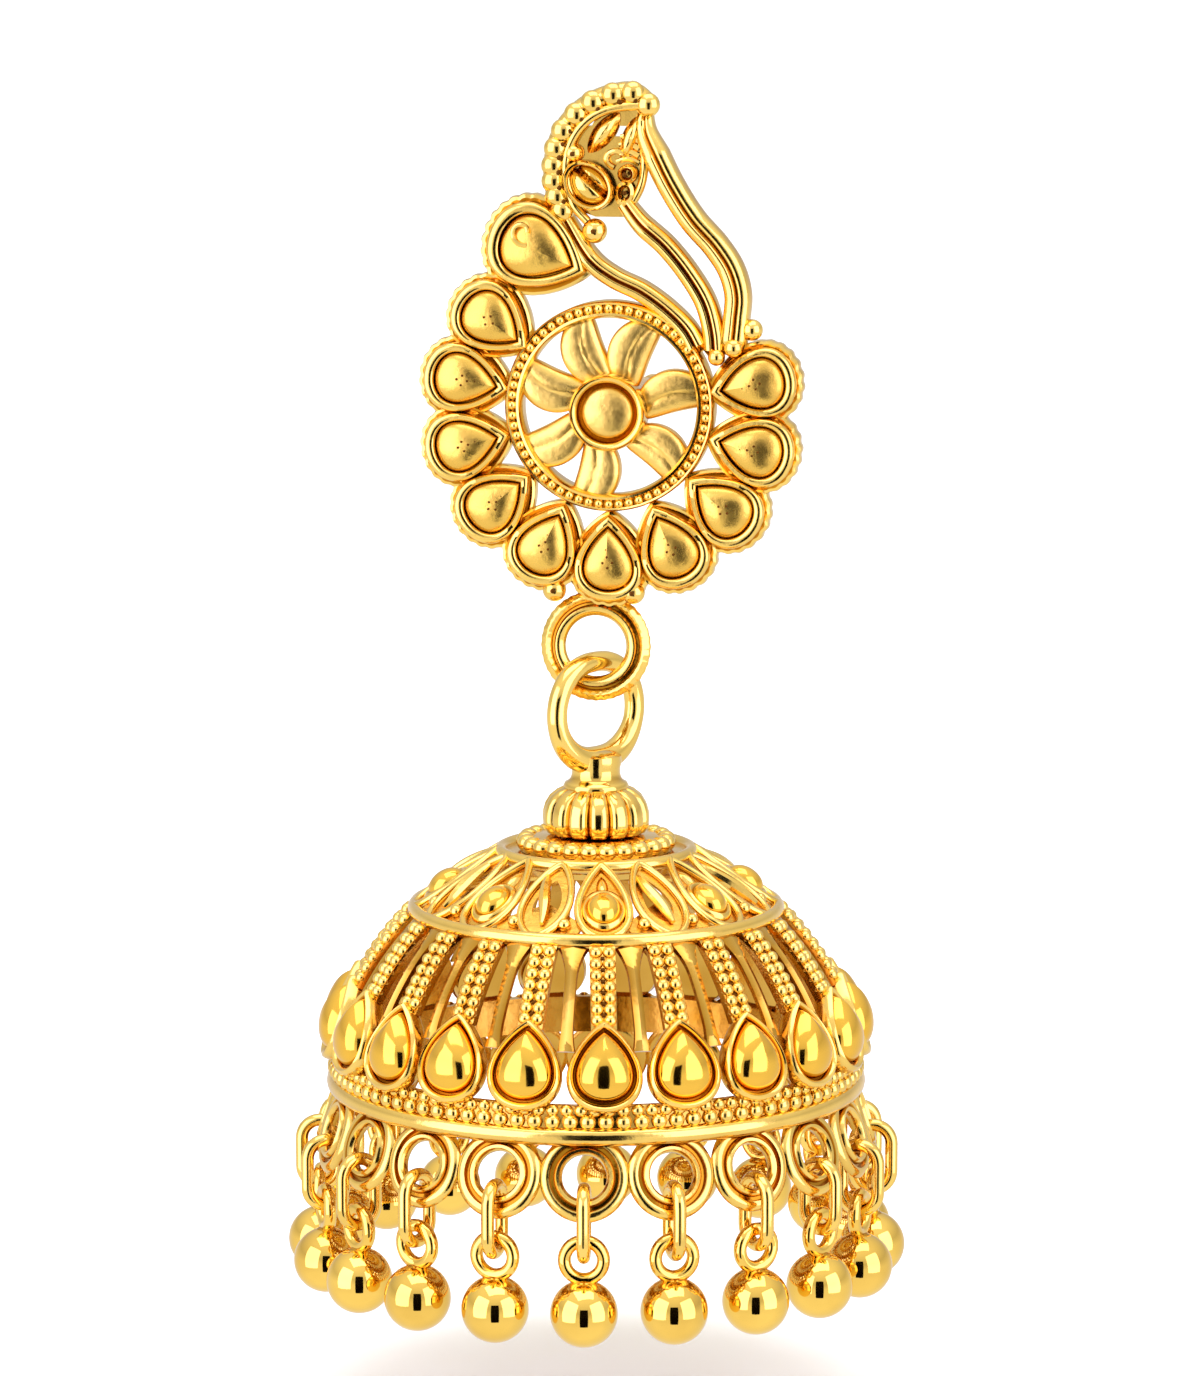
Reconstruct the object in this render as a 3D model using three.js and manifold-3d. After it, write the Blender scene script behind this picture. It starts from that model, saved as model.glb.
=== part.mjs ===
// A jhumka earring. A pierced stud holds a flower, pear settings and a paisley crest. A bell-shaped
// dome hangs from the ring at its foot by a bail loop, and carries a skirt of eyelets, jump rings
// and ball drops. Millimetres, +Z up. The front faces -Y. The origin is on the stud's flat back,
// behind the flower's centre, where the ear post leaves it.

import * as THREE from 'three';
import { mergeVertices } from 'three/addons/utils/BufferGeometryUtils.js';
import Module from 'manifold-3d';

const wasm = await Module();
wasm.setup();

// Stud: radii are from the flower's centre, heights are from the flat back
const settingLength = 3.6;
const settingWidth = 2.86;
const settingHeight = 1.15;
const settingDome = 0.5;
const settingSeat = 0.24;
const settingCount = 10;
const settingPitch = 25.4;
const firstSettingAngle = 142.8;
const largeSettingLength = 4.3;
const largeSettingWidth = 3.5;
const largeSettingInset = 0.77;
const largeSettingAngle = 114;
const largeSettingTurn = -24;

// Flower: the ring, the round centre and the petals between them
const ringOuter = 3.86;
const ringWidth = 0.62;
const ringHeight = 1.25;
const ringLift = 0.2;
const ringBevel = 0.2;
const centreRadius = 1.41;
const centreStoneRadius = 1.02;
const centreRim = 0.18;
const centreHeight = 1.75;
const centreBevel = 0.2;
const centreDome = 0.25;
const petalWidth = 1.55;
const petalHeight = 1.0;
const petalBase = 0.2;
const petalSeat = 0.25;
const petalSwirl = 0.3;
const petalAngles = [111, 67.6, 14.5, -40, -104.5, -152.6, 157];

// Crest: its outline is a row for each height, in shares of the crest's height above its foot
const crestSeat = 0.07;
const crestHeight = 4.9;
const crestDepth = 1.0;
const crestWire = 0.32;
const crestOutline = [
  { height: 0.0, left: -0.12, right: 0.12 },
  { height: 0.09, left: -0.39, right: 0.25 },
  { height: 0.25, left: -0.48, right: 0.35 },
  { height: 0.42, left: -0.49, right: 0.36 },
  { height: 0.58, left: -0.47, right: 0.33 },
  { height: 0.7, left: -0.4, right: 0.32 },
  { height: 0.83, left: -0.29, right: 0.36 },
  { height: 0.93, left: -0.14, right: 0.36 },
  { height: 1.0, left: 0.07, right: 0.27 },
];
const crestHoles = [
  { across: 0.015, height: 0.49, radius: 0.06 },
  { across: -0.19, height: 0.59, radius: 0.045 },
];
const crestSetting = { across: -0.155, height: 0.225, length: 0.378, width: 0.327, turn: -35 };
const crestSettingProud = 0.2;
const crestSettingDome = 0.35;

// Bars: a row for each station, with its angle and its reach in shares of the flower's radius
const barWidth = 0.64;
const outerBarWidth = 0.8;
const barHeight = 1.25;
const barGroove = 0.22;
const innerBar = [
  { angle: 33.3, reach: 0.55 },
  { angle: 46.4, reach: 0.575 },
  { angle: 60.6, reach: 0.597 },
  { angle: 75, reach: 0.635 },
  { angle: 89.7, reach: 0.715 },
  { angle: 98, reach: 0.868 },
  { angle: 104, reach: 1.07 },
];
const middleBar = [
  { angle: 28, reach: 0.61 },
  { angle: 37.5, reach: 0.667 },
  { angle: 48.4, reach: 0.739 },
  { angle: 60, reach: 0.807 },
  { angle: 71.3, reach: 0.889 },
  { angle: 80.6, reach: 0.967 },
  { angle: 86, reach: 1.06 },
];
const outerBar = [
  { angle: 25, reach: 0.69 },
  { angle: 36.3, reach: 0.8 },
  { angle: 42.5, reach: 0.885 },
  { angle: 49.5, reach: 0.951 },
  { angle: 57.3, reach: 1.0 },
  { angle: 65.8, reach: 1.046 },
  { angle: 79, reach: 1.26 },
  { angle: 83, reach: 1.52 },
];

// Small balls on the stud, placed as the bars' stations are, with radii in the same shares
const studBalls = [
  { angle: 94.8, reach: 0.92, radius: 0.066 },
  { angle: 30, reach: 0.84, radius: 0.056 },
  { angle: 85.8, reach: 1.21, radius: 0.058 },
  { angle: 253, reach: 0.965, radius: 0.064 },
  { angle: 277.6, reach: 0.935, radius: 0.064 },
];
const studBallHeight = 0.8;

// Stud ring, which the drop hangs on
const studRingHole = 1.12;
const studRingWidth = 0.94;
const studRingDepth = 0.56;
const studRingBevel = 0.3;
const studRingSeat = 0.56;
const studRingAcross = -0.55;
const studRingHeight = 0.6;

// Ear post
const postRadius = 0.45;
const postLength = 10.5;
const postPadRadius = 1.15;
const postPadDepth = 0.45;

// Finial: the bail loop, its neck, the ribbed melon bead and the pin through the crown
const bailWidth = 4.8;
const bailHeight = 4.44;
const bailWire = 0.38;
const bailTurn = 54;
const linkGap = 0.15;
const neckHeight = 0.95;
const neckRadius = 1.0;
const neckFoot = 0.15;
const melonRadius = 2.0;
const melonHeight = 1.8;
const melonLobes = 14;
const melonGroove = 0.1;
const pinRadius = 0.7;
const pinHeadRadius = 1.05;
const pinHeadHeight = 0.4;
const pinHeadGap = 0.1;
const pinClearance = 0.1;

// Collar of beads under the melon
const collarRadius = 3.0;
const collarHeight = 0.62;
const collarBeads = 25;
const collarBead = 0.7;

// Dome: heights are above the foot of the rim
const rimRadius = 9.9;
const wallDepth = 0.6;
const bandHeight = 1.4;
const bellShoulder = 0.5;
const bellFullness = 1.8;
const middleRingHeight = 6.8;
const crownHeight = 8.95;
const apexAboveCrown = 0.85;
const domeWire = 0.27;
const pearCount = 21;
const pearLength = 3.3;
const pearWidth = 2.72;
const pearHeight = 2.78;
const pearDome = 0.55;
const firstPearAngle = -79;
const ribWidth = 0.93;
const ribDepth = 0.34;
const ribSeat = 0.35;
const frameCount = 16;
const frameWidth = 1.7;
const frameDepth = 0.2;
const frameDome = 0.65;
const firstFrameAngle = -78;

// Skirt of eyelets, and the drops that hang from it
const dropCount = 20;
const firstDropAngle = -83.2;
const eyeletProud = 0.1;
const eyeletDrop = 1.1;
const eyeletFlare = 18;
const eyeletRadius = 1.62;
const eyeletHole = 0.79;
const eyeletDepth = 0.44;
const jumpWire = 0.24;
const jumpWidth = 1.86;
const jumpHeight = 2.94;
const jumpGap = 0.16;
const eyeGap = 0.1;
const ballRadius = 1.215;
const eyeRadius = 0.94;
const eyeWire = 0.24;
const eyeSeat = 0.2;

// Facets round each piece, few enough for all the small ones together to stay light
const settingSides = 8;
const largeSettingSides = 10;
const ringSides = 26;
const centreSides = 14;
const petalSides = 8;
const crestHoleSides = 4;
const crestWireSides = 5;
const crestWireSteps = 9;
const barSteps = 7;
const studRingSides = 20;
const roundPartSides = 10;
const studBallSides = 8;
const ballLevels = 4;
const bailWireSides = 6;
const bailSides = 14;
const frameSides = 6;
const ribSteps = 2;
const smallWireSides = 5;
const smallLinkSides = 10;

// Sizes that follow from the ones above
const flowerRadius = ringOuter + settingLength - settingSeat;
const largeSettingReach = flowerRadius - largeSettingInset;
const crestFoot = flowerRadius - crestSeat;
const studRingDrop = flowerRadius - studRingSeat + studRingHole + studRingWidth;
const bellApex = crownHeight + apexAboveCrown;
const eyeletCentreRadius = rimRadius + eyeletProud;
const bailTop = -studRingDrop - studRingHole + linkGap + 2 * bailWire;
const jhumkaHeight = crownHeight + collarHeight + melonHeight + neckHeight + bailHeight - bailWire;
const jhumkaFoot = bailTop - jhumkaHeight;

const gold = 0xe9b13c;
const deepGold = 0xd99a2b;

const degrees = THREE.MathUtils.degToRad;

function goldFinish(color, roughness) {
  return new THREE.MeshStandardMaterial({ color, roughness, metalness: 1 });
}

// The point at an angle and a distance from the flower's centre, in the plane of the stud
function polar(angle, distance, height = 0) {
  const turn = degrees(angle);
  return new THREE.Vector3(distance * Math.cos(turn), distance * Math.sin(turn), height);
}

// A closed geometry as a solid that can be joined and cut
function solidOf(geometry) {
  geometry.deleteAttribute('normal');
  geometry.deleteAttribute('uv');
  const merged = mergeVertices(geometry, 1e-4);
  const corners = merged.index.array;
  const kept = [];
  for (let i = 0; i < corners.length; i += 3) {
    const [a, b, c] = corners.subarray(i, i + 3);
    if (a !== b && b !== c && c !== a) kept.push(a, b, c);
  }
  return new wasm.Manifold(new wasm.Mesh({
    numProp: 3,
    vertProperties: new Float32Array(merged.getAttribute('position').array),
    triVerts: new Uint32Array(kept),
  }));
}

// Several closed geometries soldered into one solid
function soldered(geometries) {
  return wasm.Manifold.union(geometries.map(solidOf));
}

function meshOf(name, solid, material) {
  const { vertProperties, triVerts } = solid.getMesh();
  const geometry = new THREE.BufferGeometry();
  geometry.setAttribute('position', new THREE.BufferAttribute(vertProperties, 3));
  geometry.setIndex(new THREE.BufferAttribute(triVerts, 1));
  geometry.computeVertexNormals();
  const mesh = new THREE.Mesh(geometry, material);
  mesh.name = name;
  return mesh;
}

// Outlines give the point at an angle for a share of one
function circle(angle) {
  return [Math.cos(angle), Math.sin(angle)];
}

function oval(length, width) {
  return (angle) => [length / 2 * Math.cos(angle), width / 2 * Math.sin(angle)];
}

// A teardrop with its tip at angle zero, widest a third of the way from its round end
function teardrop(length, width) {
  const widest = 0.77;
  return (angle) => [
    length / 2 * Math.cos(angle),
    width / 2 / widest * Math.sin(angle) * Math.abs(Math.sin(angle / 2)),
  ];
}

// A leaf with a point at each end
function leaf(length, width) {
  const fullness = 0.4;
  return (angle) => [
    length / 2 * Math.cos(angle),
    width / 2 * Math.sin(angle) * Math.abs(Math.sin(angle)) ** fullness,
  ];
}

// A circle with lobes pushed out of it
function lobed(count, groove) {
  return (angle) => {
    const reach = 1 - groove / 2 + groove / 2 * Math.cos(count * angle);
    return [reach * Math.cos(angle), reach * Math.sin(angle)];
  };
}

// A body turned about +Z. The profile's rows are a radius and a height, from the foot outwards and
// up, and the outline says where each side of a radius of one goes.
function turned(profile, sides, outline = circle) {
  const points = profile.map(([radius, height]) => new THREE.Vector2(radius, height));
  const geometry = new THREE.LatheGeometry(points, sides);
  const position = geometry.getAttribute('position');
  for (let i = 0; i < position.count; i += 1) {
    const radius = Math.hypot(position.getX(i), position.getZ(i));
    const angle = Math.atan2(position.getX(i), position.getZ(i));
    const [x, y] = outline(angle);
    position.setXYZ(i, radius * x, radius * y, position.getY(i));
  }
  return geometry;
}

// A section carried along a path. Its x is the depth below the path's plane, its y goes across.
function swept(path, section, steps) {
  return new THREE.ExtrudeGeometry(new THREE.Shape(section), { steps, extrudePath: path });
}

function roundSection(radius, sides) {
  return Array.from({ length: sides }, (_, i) => {
    const angle = 2 * Math.PI * (i + 0.5) / sides;
    return new THREE.Vector2(radius * Math.cos(angle), radius * Math.sin(angle));
  });
}

function ball(radius, centre, sides, levels) {
  return new THREE.SphereGeometry(radius, sides, levels).translate(centre.x, centre.y, centre.z);
}

// An oval link in the XZ plane, long along Z: a round ring whose halves are drawn apart
function link(length, width, wire, wireSides, sides) {
  const geometry = new THREE.TorusGeometry(width / 2 - wire, wire, wireSides, sides)
    .rotateZ(Math.PI / sides)
    .rotateX(Math.PI / 2);
  const position = geometry.getAttribute('position');
  for (let i = 0; i < position.count; i += 1) {
    const height = position.getZ(i);
    position.setZ(i, height + Math.sign(height) * (length - width) / 2);
  }
  return geometry;
}

// A setting with a raised edge and a domed stone in it
function setting(outline, sides, height, dome) {
  return turned([
    [0, 0],
    [1, 0],
    [1, height],
    [0.8, height + dome / 2],
    [0, height + dome],
  ], sides, outline);
}

function petal(angle) {
  const start = centreRadius - petalSeat;
  const end = ringOuter - ringWidth / 2;
  const length = end - start;
  const profile = [[0, 0], [1, 0.1], [0.9, 0.8], [0, 1]];
  const geometry = turned(profile, petalSides, teardrop(length, petalWidth));
  const position = geometry.getAttribute('position');
  for (let i = 0; i < position.count; i += 1) {
    const along = position.getX(i);
    const bend = petalSwirl * (2 * along / length) ** 2;
    position.setXYZ(i, -along, -position.getY(i) - bend, petalHeight * position.getZ(i) + petalBase);
  }
  geometry.translate((start + end) / 2, petalSwirl / 2, 0);
  return geometry.rotateZ(degrees(angle));
}

function flower() {
  const ringInner = ringOuter - ringWidth;
  const ring = turned([
    [ringInner, 0],
    [ringOuter, 0],
    [ringOuter, ringHeight - ringBevel],
    [ringOuter - ringWidth / 2, ringHeight],
    [ringInner, ringHeight - ringBevel],
    [ringInner, 0],
  ], ringSides).translate(0, ringLift, 0);
  const centre = turned([
    [0, 0],
    [centreRadius, 0],
    [centreRadius, centreHeight - centreBevel],
    [centreRadius - centreRim, centreHeight],
    [centreStoneRadius, centreHeight - centreDome],
    [0, centreHeight + centreDome],
  ], centreSides);
  return [ring, centre, ...petalAngles.map(petal)];
}

// Pear settings round the flower, tips inward, and the large one beside the crest
function pearSettings() {
  const settings = [];
  for (let i = 0; i < settingCount; i += 1) {
    const small = teardrop(settingLength, settingWidth);
    settings.push(setting(small, settingSides, settingHeight, settingDome)
      .rotateZ(Math.PI)
      .translate(flowerRadius - settingLength / 2, 0, 0)
      .rotateZ(degrees(firstSettingAngle + i * settingPitch)));
  }
  const place = polar(largeSettingAngle, largeSettingReach);
  const outline = teardrop(largeSettingLength, largeSettingWidth);
  settings.push(setting(outline, largeSettingSides, settingHeight, settingDome)
    .rotateZ(degrees(largeSettingTurn))
    .translate(place.x, place.y, 0));
  return settings;
}

function crestPoint(across, height) {
  return new THREE.Vector2(across * crestHeight, crestFoot + height * crestHeight);
}

function crest() {
  const left = crestOutline.map((row) => crestPoint(row.left, row.height));
  const right = crestOutline.map((row) => crestPoint(row.right, row.height));
  const shape = new THREE.Shape([...right, ...left.toReversed()]);
  for (const { across, height, radius } of crestHoles) {
    const centre = crestPoint(across, height);
    const hole = new THREE.Path();
    hole.absarc(centre.x, centre.y, radius * crestHeight, 0, 2 * Math.PI);
    shape.holes.push(hole);
  }
  const plate = new THREE.ExtrudeGeometry(shape, {
    depth: crestDepth,
    bevelEnabled: false,
    curveSegments: crestHoleSides,
  });
  const edge = left.slice(1).concat(right.slice(-3).toReversed());
  const edgePath = new THREE.CatmullRomCurve3(edge.map(({ x, y }) => new THREE.Vector3(x, y, crestDepth)));
  const { across, height, length, width, turn } = crestSetting;
  const place = crestPoint(across, height);
  const outline = oval(length * crestHeight, width * crestHeight);
  const bean = setting(outline, largeSettingSides, crestDepth + crestSettingProud, crestSettingDome)
    .rotateZ(degrees(turn))
    .translate(place.x, place.y, 0);
  return [plate, swept(edgePath, roundSection(crestWire, crestWireSides), crestWireSteps), bean];
}

// A double-ridged bar through its stations, standing on the flat back
function bar(stations, width) {
  const places = stations.map(({ angle, reach }) => polar(angle, reach * flowerRadius));
  const section = [
    [0, -width / 2],
    [0, width / 2],
    [-barHeight, width / 3],
    [-barHeight + barGroove, 0],
    [-barHeight, -width / 3],
  ].map(([depth, across]) => new THREE.Vector2(depth, across));
  return swept(new THREE.CatmullRomCurve3(places), section, barSteps);
}

function studRing() {
  const outer = studRingHole + studRingWidth;
  const half = studRingDepth / 2;
  return turned([
    [studRingHole, 0],
    [studRingHole + studRingBevel, -half],
    [outer - studRingBevel, -half],
    [outer, 0],
    [studRingHole + studRingWidth / 2, half],
    [studRingHole, 0],
  ], studRingSides).translate(studRingAcross, -studRingDrop, studRingHeight);
}

function studPlate() {
  const balls = studBalls.map(({ angle, reach, radius }) => {
    const centre = polar(angle, reach * flowerRadius, studBallHeight);
    return ball(radius * flowerRadius, centre, studBallSides, ballLevels);
  });
  const pieces = [
    ...flower(),
    ...pearSettings(),
    ...crest(),
    bar(innerBar, barWidth),
    bar(middleBar, barWidth),
    bar(outerBar, outerBarWidth),
    ...balls,
    studRing(),
  ];
  for (const piece of pieces) piece.rotateX(Math.PI / 2);
  return meshOf('stud_plate', soldered(pieces), goldFinish(gold, 0.22));
}

function earPost() {
  const tip = postRadius * 0.6;
  const post = turned([
    [0, 0],
    [postPadRadius, 0],
    [postPadRadius, postPadDepth],
    [postRadius, postPadDepth],
    [postRadius, postLength - tip],
    [0, postLength],
  ], roundPartSides).rotateX(-Math.PI / 2);
  return meshOf('ear_post', solidOf(post), goldFinish(gold, 0.25));
}

// The finial stands on its melon's foot, so its own heights start there
function finial() {
  const melon = turned([
    [0, 0],
    [melonRadius * 0.66, 0],
    [melonRadius * 0.98, melonHeight * 0.3],
    [melonRadius * 0.9, melonHeight * 0.7],
    [neckRadius, melonHeight],
    [0, melonHeight],
  ], melonLobes * 2, lobed(melonLobes, melonGroove));
  const neck = turned([
    [0, melonHeight / 2],
    [neckRadius * 1.1, melonHeight / 2],
    [neckRadius * 1.1, melonHeight + neckFoot],
    [neckRadius * 0.9, melonHeight + neckHeight * 0.4],
    [neckRadius * 0.75, melonHeight + neckHeight + bailWire * 0.6],
    [0, melonHeight + neckHeight + bailWire * 0.8],
  ], roundPartSides);
  const bail = link(bailWidth, bailHeight, bailWire, bailWireSides, bailSides)
    .rotateY(Math.PI / 2)
    .rotateZ(degrees(bailTurn))
    .translate(0, 0, melonHeight + neckHeight - bailWire + bailHeight / 2);
  const headTop = -collarHeight - wallDepth - pinHeadGap;
  const pin = turned([
    [0, headTop - pinHeadHeight],
    [pinHeadRadius * 0.7, headTop - pinHeadHeight],
    [pinHeadRadius, headTop],
    [pinRadius, headTop],
    [pinRadius, melonHeight / 2],
    [0, melonHeight / 2],
  ], roundPartSides);
  return meshOf('bail_finial', soldered([melon, neck, bail, pin]), goldFinish(gold, 0.18));
}

// A row of beads run together into one ring, flat where it sits
function collar() {
  const bore = pinRadius + pinClearance;
  const ring = turned([
    [bore, 0],
    [collarRadius, collarHeight * 0.4],
    [bore, collarHeight],
    [bore, 0],
  ], collarBeads * 2, lobed(collarBeads, collarBead / collarRadius * 0.5));
  return meshOf('beaded_collar', solidOf(ring), goldFinish(gold, 0.2));
}

// The bell's radius at a height: upright at the shoulder, and closing in to the apex
function bellRadius(height) {
  const share = Math.max(0, (height - bellShoulder) / (bellApex - bellShoulder));
  return rimRadius * (1 - share ** bellFullness) ** (1 / bellFullness);
}

// The bell's slope at a height, as an angle from upright
function bellTilt(height) {
  const step = 0.05;
  return Math.atan2(bellRadius(height - step) - bellRadius(height + step), 2 * step);
}

// Turns a flat ornament's face outward and its tip up, at a place round the dome's axis
function facing(radius, height, tilt, angle) {
  const up = new THREE.Vector3(-Math.sin(tilt), 0, Math.cos(tilt));
  const out = new THREE.Vector3(Math.cos(tilt), 0, Math.sin(tilt));
  const across = new THREE.Vector3().crossVectors(out, up);
  const place = new THREE.Matrix4().makeBasis(up, across, out).setPosition(radius, 0, height);
  return new THREE.Matrix4().makeRotationZ(degrees(angle)).multiply(place);
}

function domeRings() {
  const crownRadius = bellRadius(crownHeight);
  const bore = pinRadius + pinClearance;
  const under = crownHeight - wallDepth;
  const crown = turned([
    [bore, under],
    [crownRadius - domeWire, under],
    [crownRadius + domeWire, crownHeight - domeWire],
    [crownRadius, crownHeight + domeWire],
    [crownRadius - domeWire, crownHeight],
    [bore, crownHeight],
    [bore, under],
  ], frameCount).rotateZ(degrees(firstFrameAngle) + Math.PI / frameCount);
  const middleRadius = bellRadius(middleRingHeight);
  const middle = turned([
    [middleRadius - domeWire, middleRingHeight - domeWire],
    [middleRadius + domeWire, middleRingHeight - domeWire],
    [middleRadius + domeWire, middleRingHeight],
    [middleRadius - domeWire, middleRingHeight + domeWire],
    [middleRadius - domeWire, middleRingHeight - domeWire],
  ], pearCount).rotateZ(degrees(firstPearAngle) + Math.PI / pearCount);
  const band = turned([
    [rimRadius - wallDepth, 0],
    [rimRadius, 0],
    [rimRadius + domeWire / 2, domeWire],
    [rimRadius, bandHeight],
    [rimRadius - wallDepth, bandHeight],
    [rimRadius - wallDepth, 0],
  ], pearCount).rotateZ(degrees(firstPearAngle) + Math.PI / pearCount);
  return [crown, middle, band];
}

function domeFrame(angle) {
  const height = (middleRingHeight + crownHeight) / 2;
  const across = bellRadius(middleRingHeight) - bellRadius(crownHeight);
  const length = Math.hypot(across, crownHeight - middleRingHeight) + domeWire;
  const tilt = Math.atan2(across, crownHeight - middleRingHeight);
  const radius = (bellRadius(middleRingHeight) + bellRadius(crownHeight)) / 2;
  return turned([
    [0, -frameDepth],
    [1, -frameDepth],
    [1, frameDepth],
    [0, frameDome],
  ], frameSides, leaf(length, frameWidth)).applyMatrix4(facing(radius, height, tilt, angle));
}

function domePear(angle) {
  return setting(teardrop(pearLength, pearWidth), settingSides, wallDepth, pearDome)
    .translate(0, 0, -wallDepth * 0.7)
    .applyMatrix4(facing(bellRadius(pearHeight), pearHeight, bellTilt(pearHeight), angle));
}

// A rib from a pear's tip up to the middle ring, following the bell
function domeRib(angle) {
  const foot = pearHeight + pearLength / 2 * Math.cos(bellTilt(pearHeight)) - ribSeat;
  const places = [0, 0.5, 1].map((share) => {
    const height = foot + share * (middleRingHeight - foot);
    return new THREE.Vector3(bellRadius(height), 0, height);
  });
  const section = [
    [-ribWidth / 2, -ribDepth / 2],
    [ribWidth / 2, -ribDepth / 2],
    [ribWidth / 2, ribDepth / 2],
    [-ribWidth / 2, ribDepth / 2],
  ].map(([x, y]) => new THREE.Vector2(x, y));
  return swept(new THREE.CatmullRomCurve3(places), section, ribSteps).rotateZ(degrees(angle));
}

function eyelet(angle) {
  const half = eyeletDepth / 2;
  return turned([
    [eyeletHole, -half],
    [eyeletRadius, -half],
    [(eyeletHole + eyeletRadius) / 2, half],
    [eyeletHole, -half],
  ], roundPartSides).applyMatrix4(facing(eyeletCentreRadius, -eyeletDrop, degrees(eyeletFlare), angle));
}

function around(count, first, make) {
  return Array.from({ length: count }, (_, i) => make(first + i * 360 / count));
}

function dome() {
  const pieces = [
    ...domeRings(),
    ...around(frameCount, firstFrameAngle, domeFrame),
    ...around(pearCount, firstPearAngle, domePear),
    ...around(pearCount, firstPearAngle, domeRib),
    ...around(dropCount, firstDropAngle, eyelet),
  ];
  return meshOf('dome', soldered(pieces), goldFinish(gold, 0.2));
}

// The jump ring is an oval in a plane through the dome's axis, and the ball's eye is across it
const flare = degrees(eyeletFlare);
const eyeletWireReach = (eyeletHole + eyeletRadius) / 2;
const hangRadius = eyeletCentreRadius + eyeletWireReach * Math.sin(flare);
const jumpTop = -eyeletDrop - eyeletHole * Math.cos(flare) + jumpGap + 2 * jumpWire;
const jumpCentre = jumpTop - jumpHeight / 2;
const eyeCentre = jumpTop - jumpHeight + 2 * jumpWire + eyeGap + 2 * eyeWire - eyeRadius;

function jumpRing() {
  return solidOf(link(jumpHeight, jumpWidth, jumpWire, smallWireSides, smallLinkSides));
}

function ballDrop() {
  const eye = new THREE.TorusGeometry(eyeRadius - eyeWire, eyeWire, smallWireSides, smallLinkSides);
  const centre = new THREE.Vector3(0, 0, eyeSeat - eyeRadius - ballRadius);
  const drop = ball(ballRadius, centre, roundPartSides, ballLevels);
  return soldered([eye.rotateY(Math.PI / 2), drop]);
}

function drops() {
  const group = new THREE.Group();
  const ring = jumpRing();
  const drop = ballDrop();
  for (let i = 0; i < dropCount; i += 1) {
    const turn = new THREE.Group();
    const number = String(i + 1).padStart(2, '0');
    const ringMesh = meshOf(`jump_ring_${number}`, ring, goldFinish(deepGold, 0.2));
    ringMesh.position.set(hangRadius, 0, jumpCentre);
    const dropMesh = meshOf(`ball_drop_${number}`, drop, goldFinish(gold, 0.12));
    dropMesh.position.set(hangRadius, 0, eyeCentre);
    turn.add(ringMesh, dropMesh);
    turn.rotation.z = degrees(firstDropAngle + i * 360 / dropCount);
    group.add(turn);
  }
  return group;
}

function jhumka() {
  const group = new THREE.Group();
  const collarMesh = collar();
  collarMesh.position.z = crownHeight;
  const finialMesh = finial();
  finialMesh.position.z = crownHeight + collarHeight;
  group.add(dome(), collarMesh, finialMesh, drops());
  group.position.set(studRingAcross, -studRingHeight, jhumkaFoot);
  return group;
}

const earring = new THREE.Group();
earring.add(studPlate(), earPost(), jhumka());

export default earring;
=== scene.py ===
import bmesh
import bpy
import numpy as np
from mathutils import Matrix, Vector


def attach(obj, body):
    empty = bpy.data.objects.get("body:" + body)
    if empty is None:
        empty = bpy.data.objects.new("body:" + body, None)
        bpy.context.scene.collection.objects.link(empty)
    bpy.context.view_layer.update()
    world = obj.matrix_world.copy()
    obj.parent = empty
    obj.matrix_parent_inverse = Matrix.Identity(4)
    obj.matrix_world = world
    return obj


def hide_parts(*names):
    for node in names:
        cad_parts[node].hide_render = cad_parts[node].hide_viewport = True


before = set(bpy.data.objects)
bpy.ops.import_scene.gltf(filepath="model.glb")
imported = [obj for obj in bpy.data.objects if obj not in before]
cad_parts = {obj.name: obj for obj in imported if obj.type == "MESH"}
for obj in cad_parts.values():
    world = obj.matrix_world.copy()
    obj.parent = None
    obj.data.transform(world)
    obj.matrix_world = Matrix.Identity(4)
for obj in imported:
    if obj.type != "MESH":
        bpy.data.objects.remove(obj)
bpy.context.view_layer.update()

# The view: the earring hangs in front of the eye, which is a little above the dome's crown and to
# the viewer's right, and looks slightly down, so the dome's rim shows as a shallow ellipse.
EYE = Vector((0.0297, -0.1877, 0.0180))
LOOKED_AT = Vector((-0.0004, -0.0006, -0.0103))
EYE_DISTANCE = 0.190
SHOWN_HEIGHT = 0.0505
SENSOR = 36.0

lens_data = bpy.data.cameras.new("eye")
lens_data.sensor_fit = "VERTICAL"
lens_data.sensor_height = SENSOR
lens_data.lens = SENSOR * EYE_DISTANCE / SHOWN_HEIGHT
lens_data.clip_start = 0.01
lens_data.clip_end = 20
eye = bpy.data.objects.new("eye", lens_data)
eye.location = EYE
eye.rotation_euler = (LOOKED_AT - EYE).to_track_quat("-Z", "Y").to_euler()
bpy.context.scene.collection.objects.link(eye)
bpy.context.scene.camera = eye
bpy.context.scene.view_settings.view_transform = "Standard"

# The table: a plain white sheet, wide enough to fill the view behind the earring, which hangs a few
# millimetres above it.
TABLE_HEIGHT = -0.0372
TABLE_HALF = 3.0

table_mesh = bpy.data.meshes.new("table")
table_mesh.from_pydata(
    [(x * TABLE_HALF, y * TABLE_HALF, TABLE_HEIGHT) for x, y in ((-1, -1), (1, -1), (1, 1), (-1, 1))],
    [], [(0, 1, 2, 3)])
table = bpy.data.objects.new("table", table_mesh)
bpy.context.scene.collection.objects.link(table)
table_paint = bpy.data.materials.new("white_table")
table_paint.use_nodes = True
table_shader = table_paint.node_tree.nodes["Principled BSDF"]
table_shader.inputs["Base Color"].default_value = (0.93, 0.955, 0.875, 1)
table_shader.inputs["Roughness"].default_value = 0.7
table_shader.inputs["Specular IOR Level"].default_value = 0.1
table_mesh.materials.append(table_paint)
table.visible_glossy = False

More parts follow.
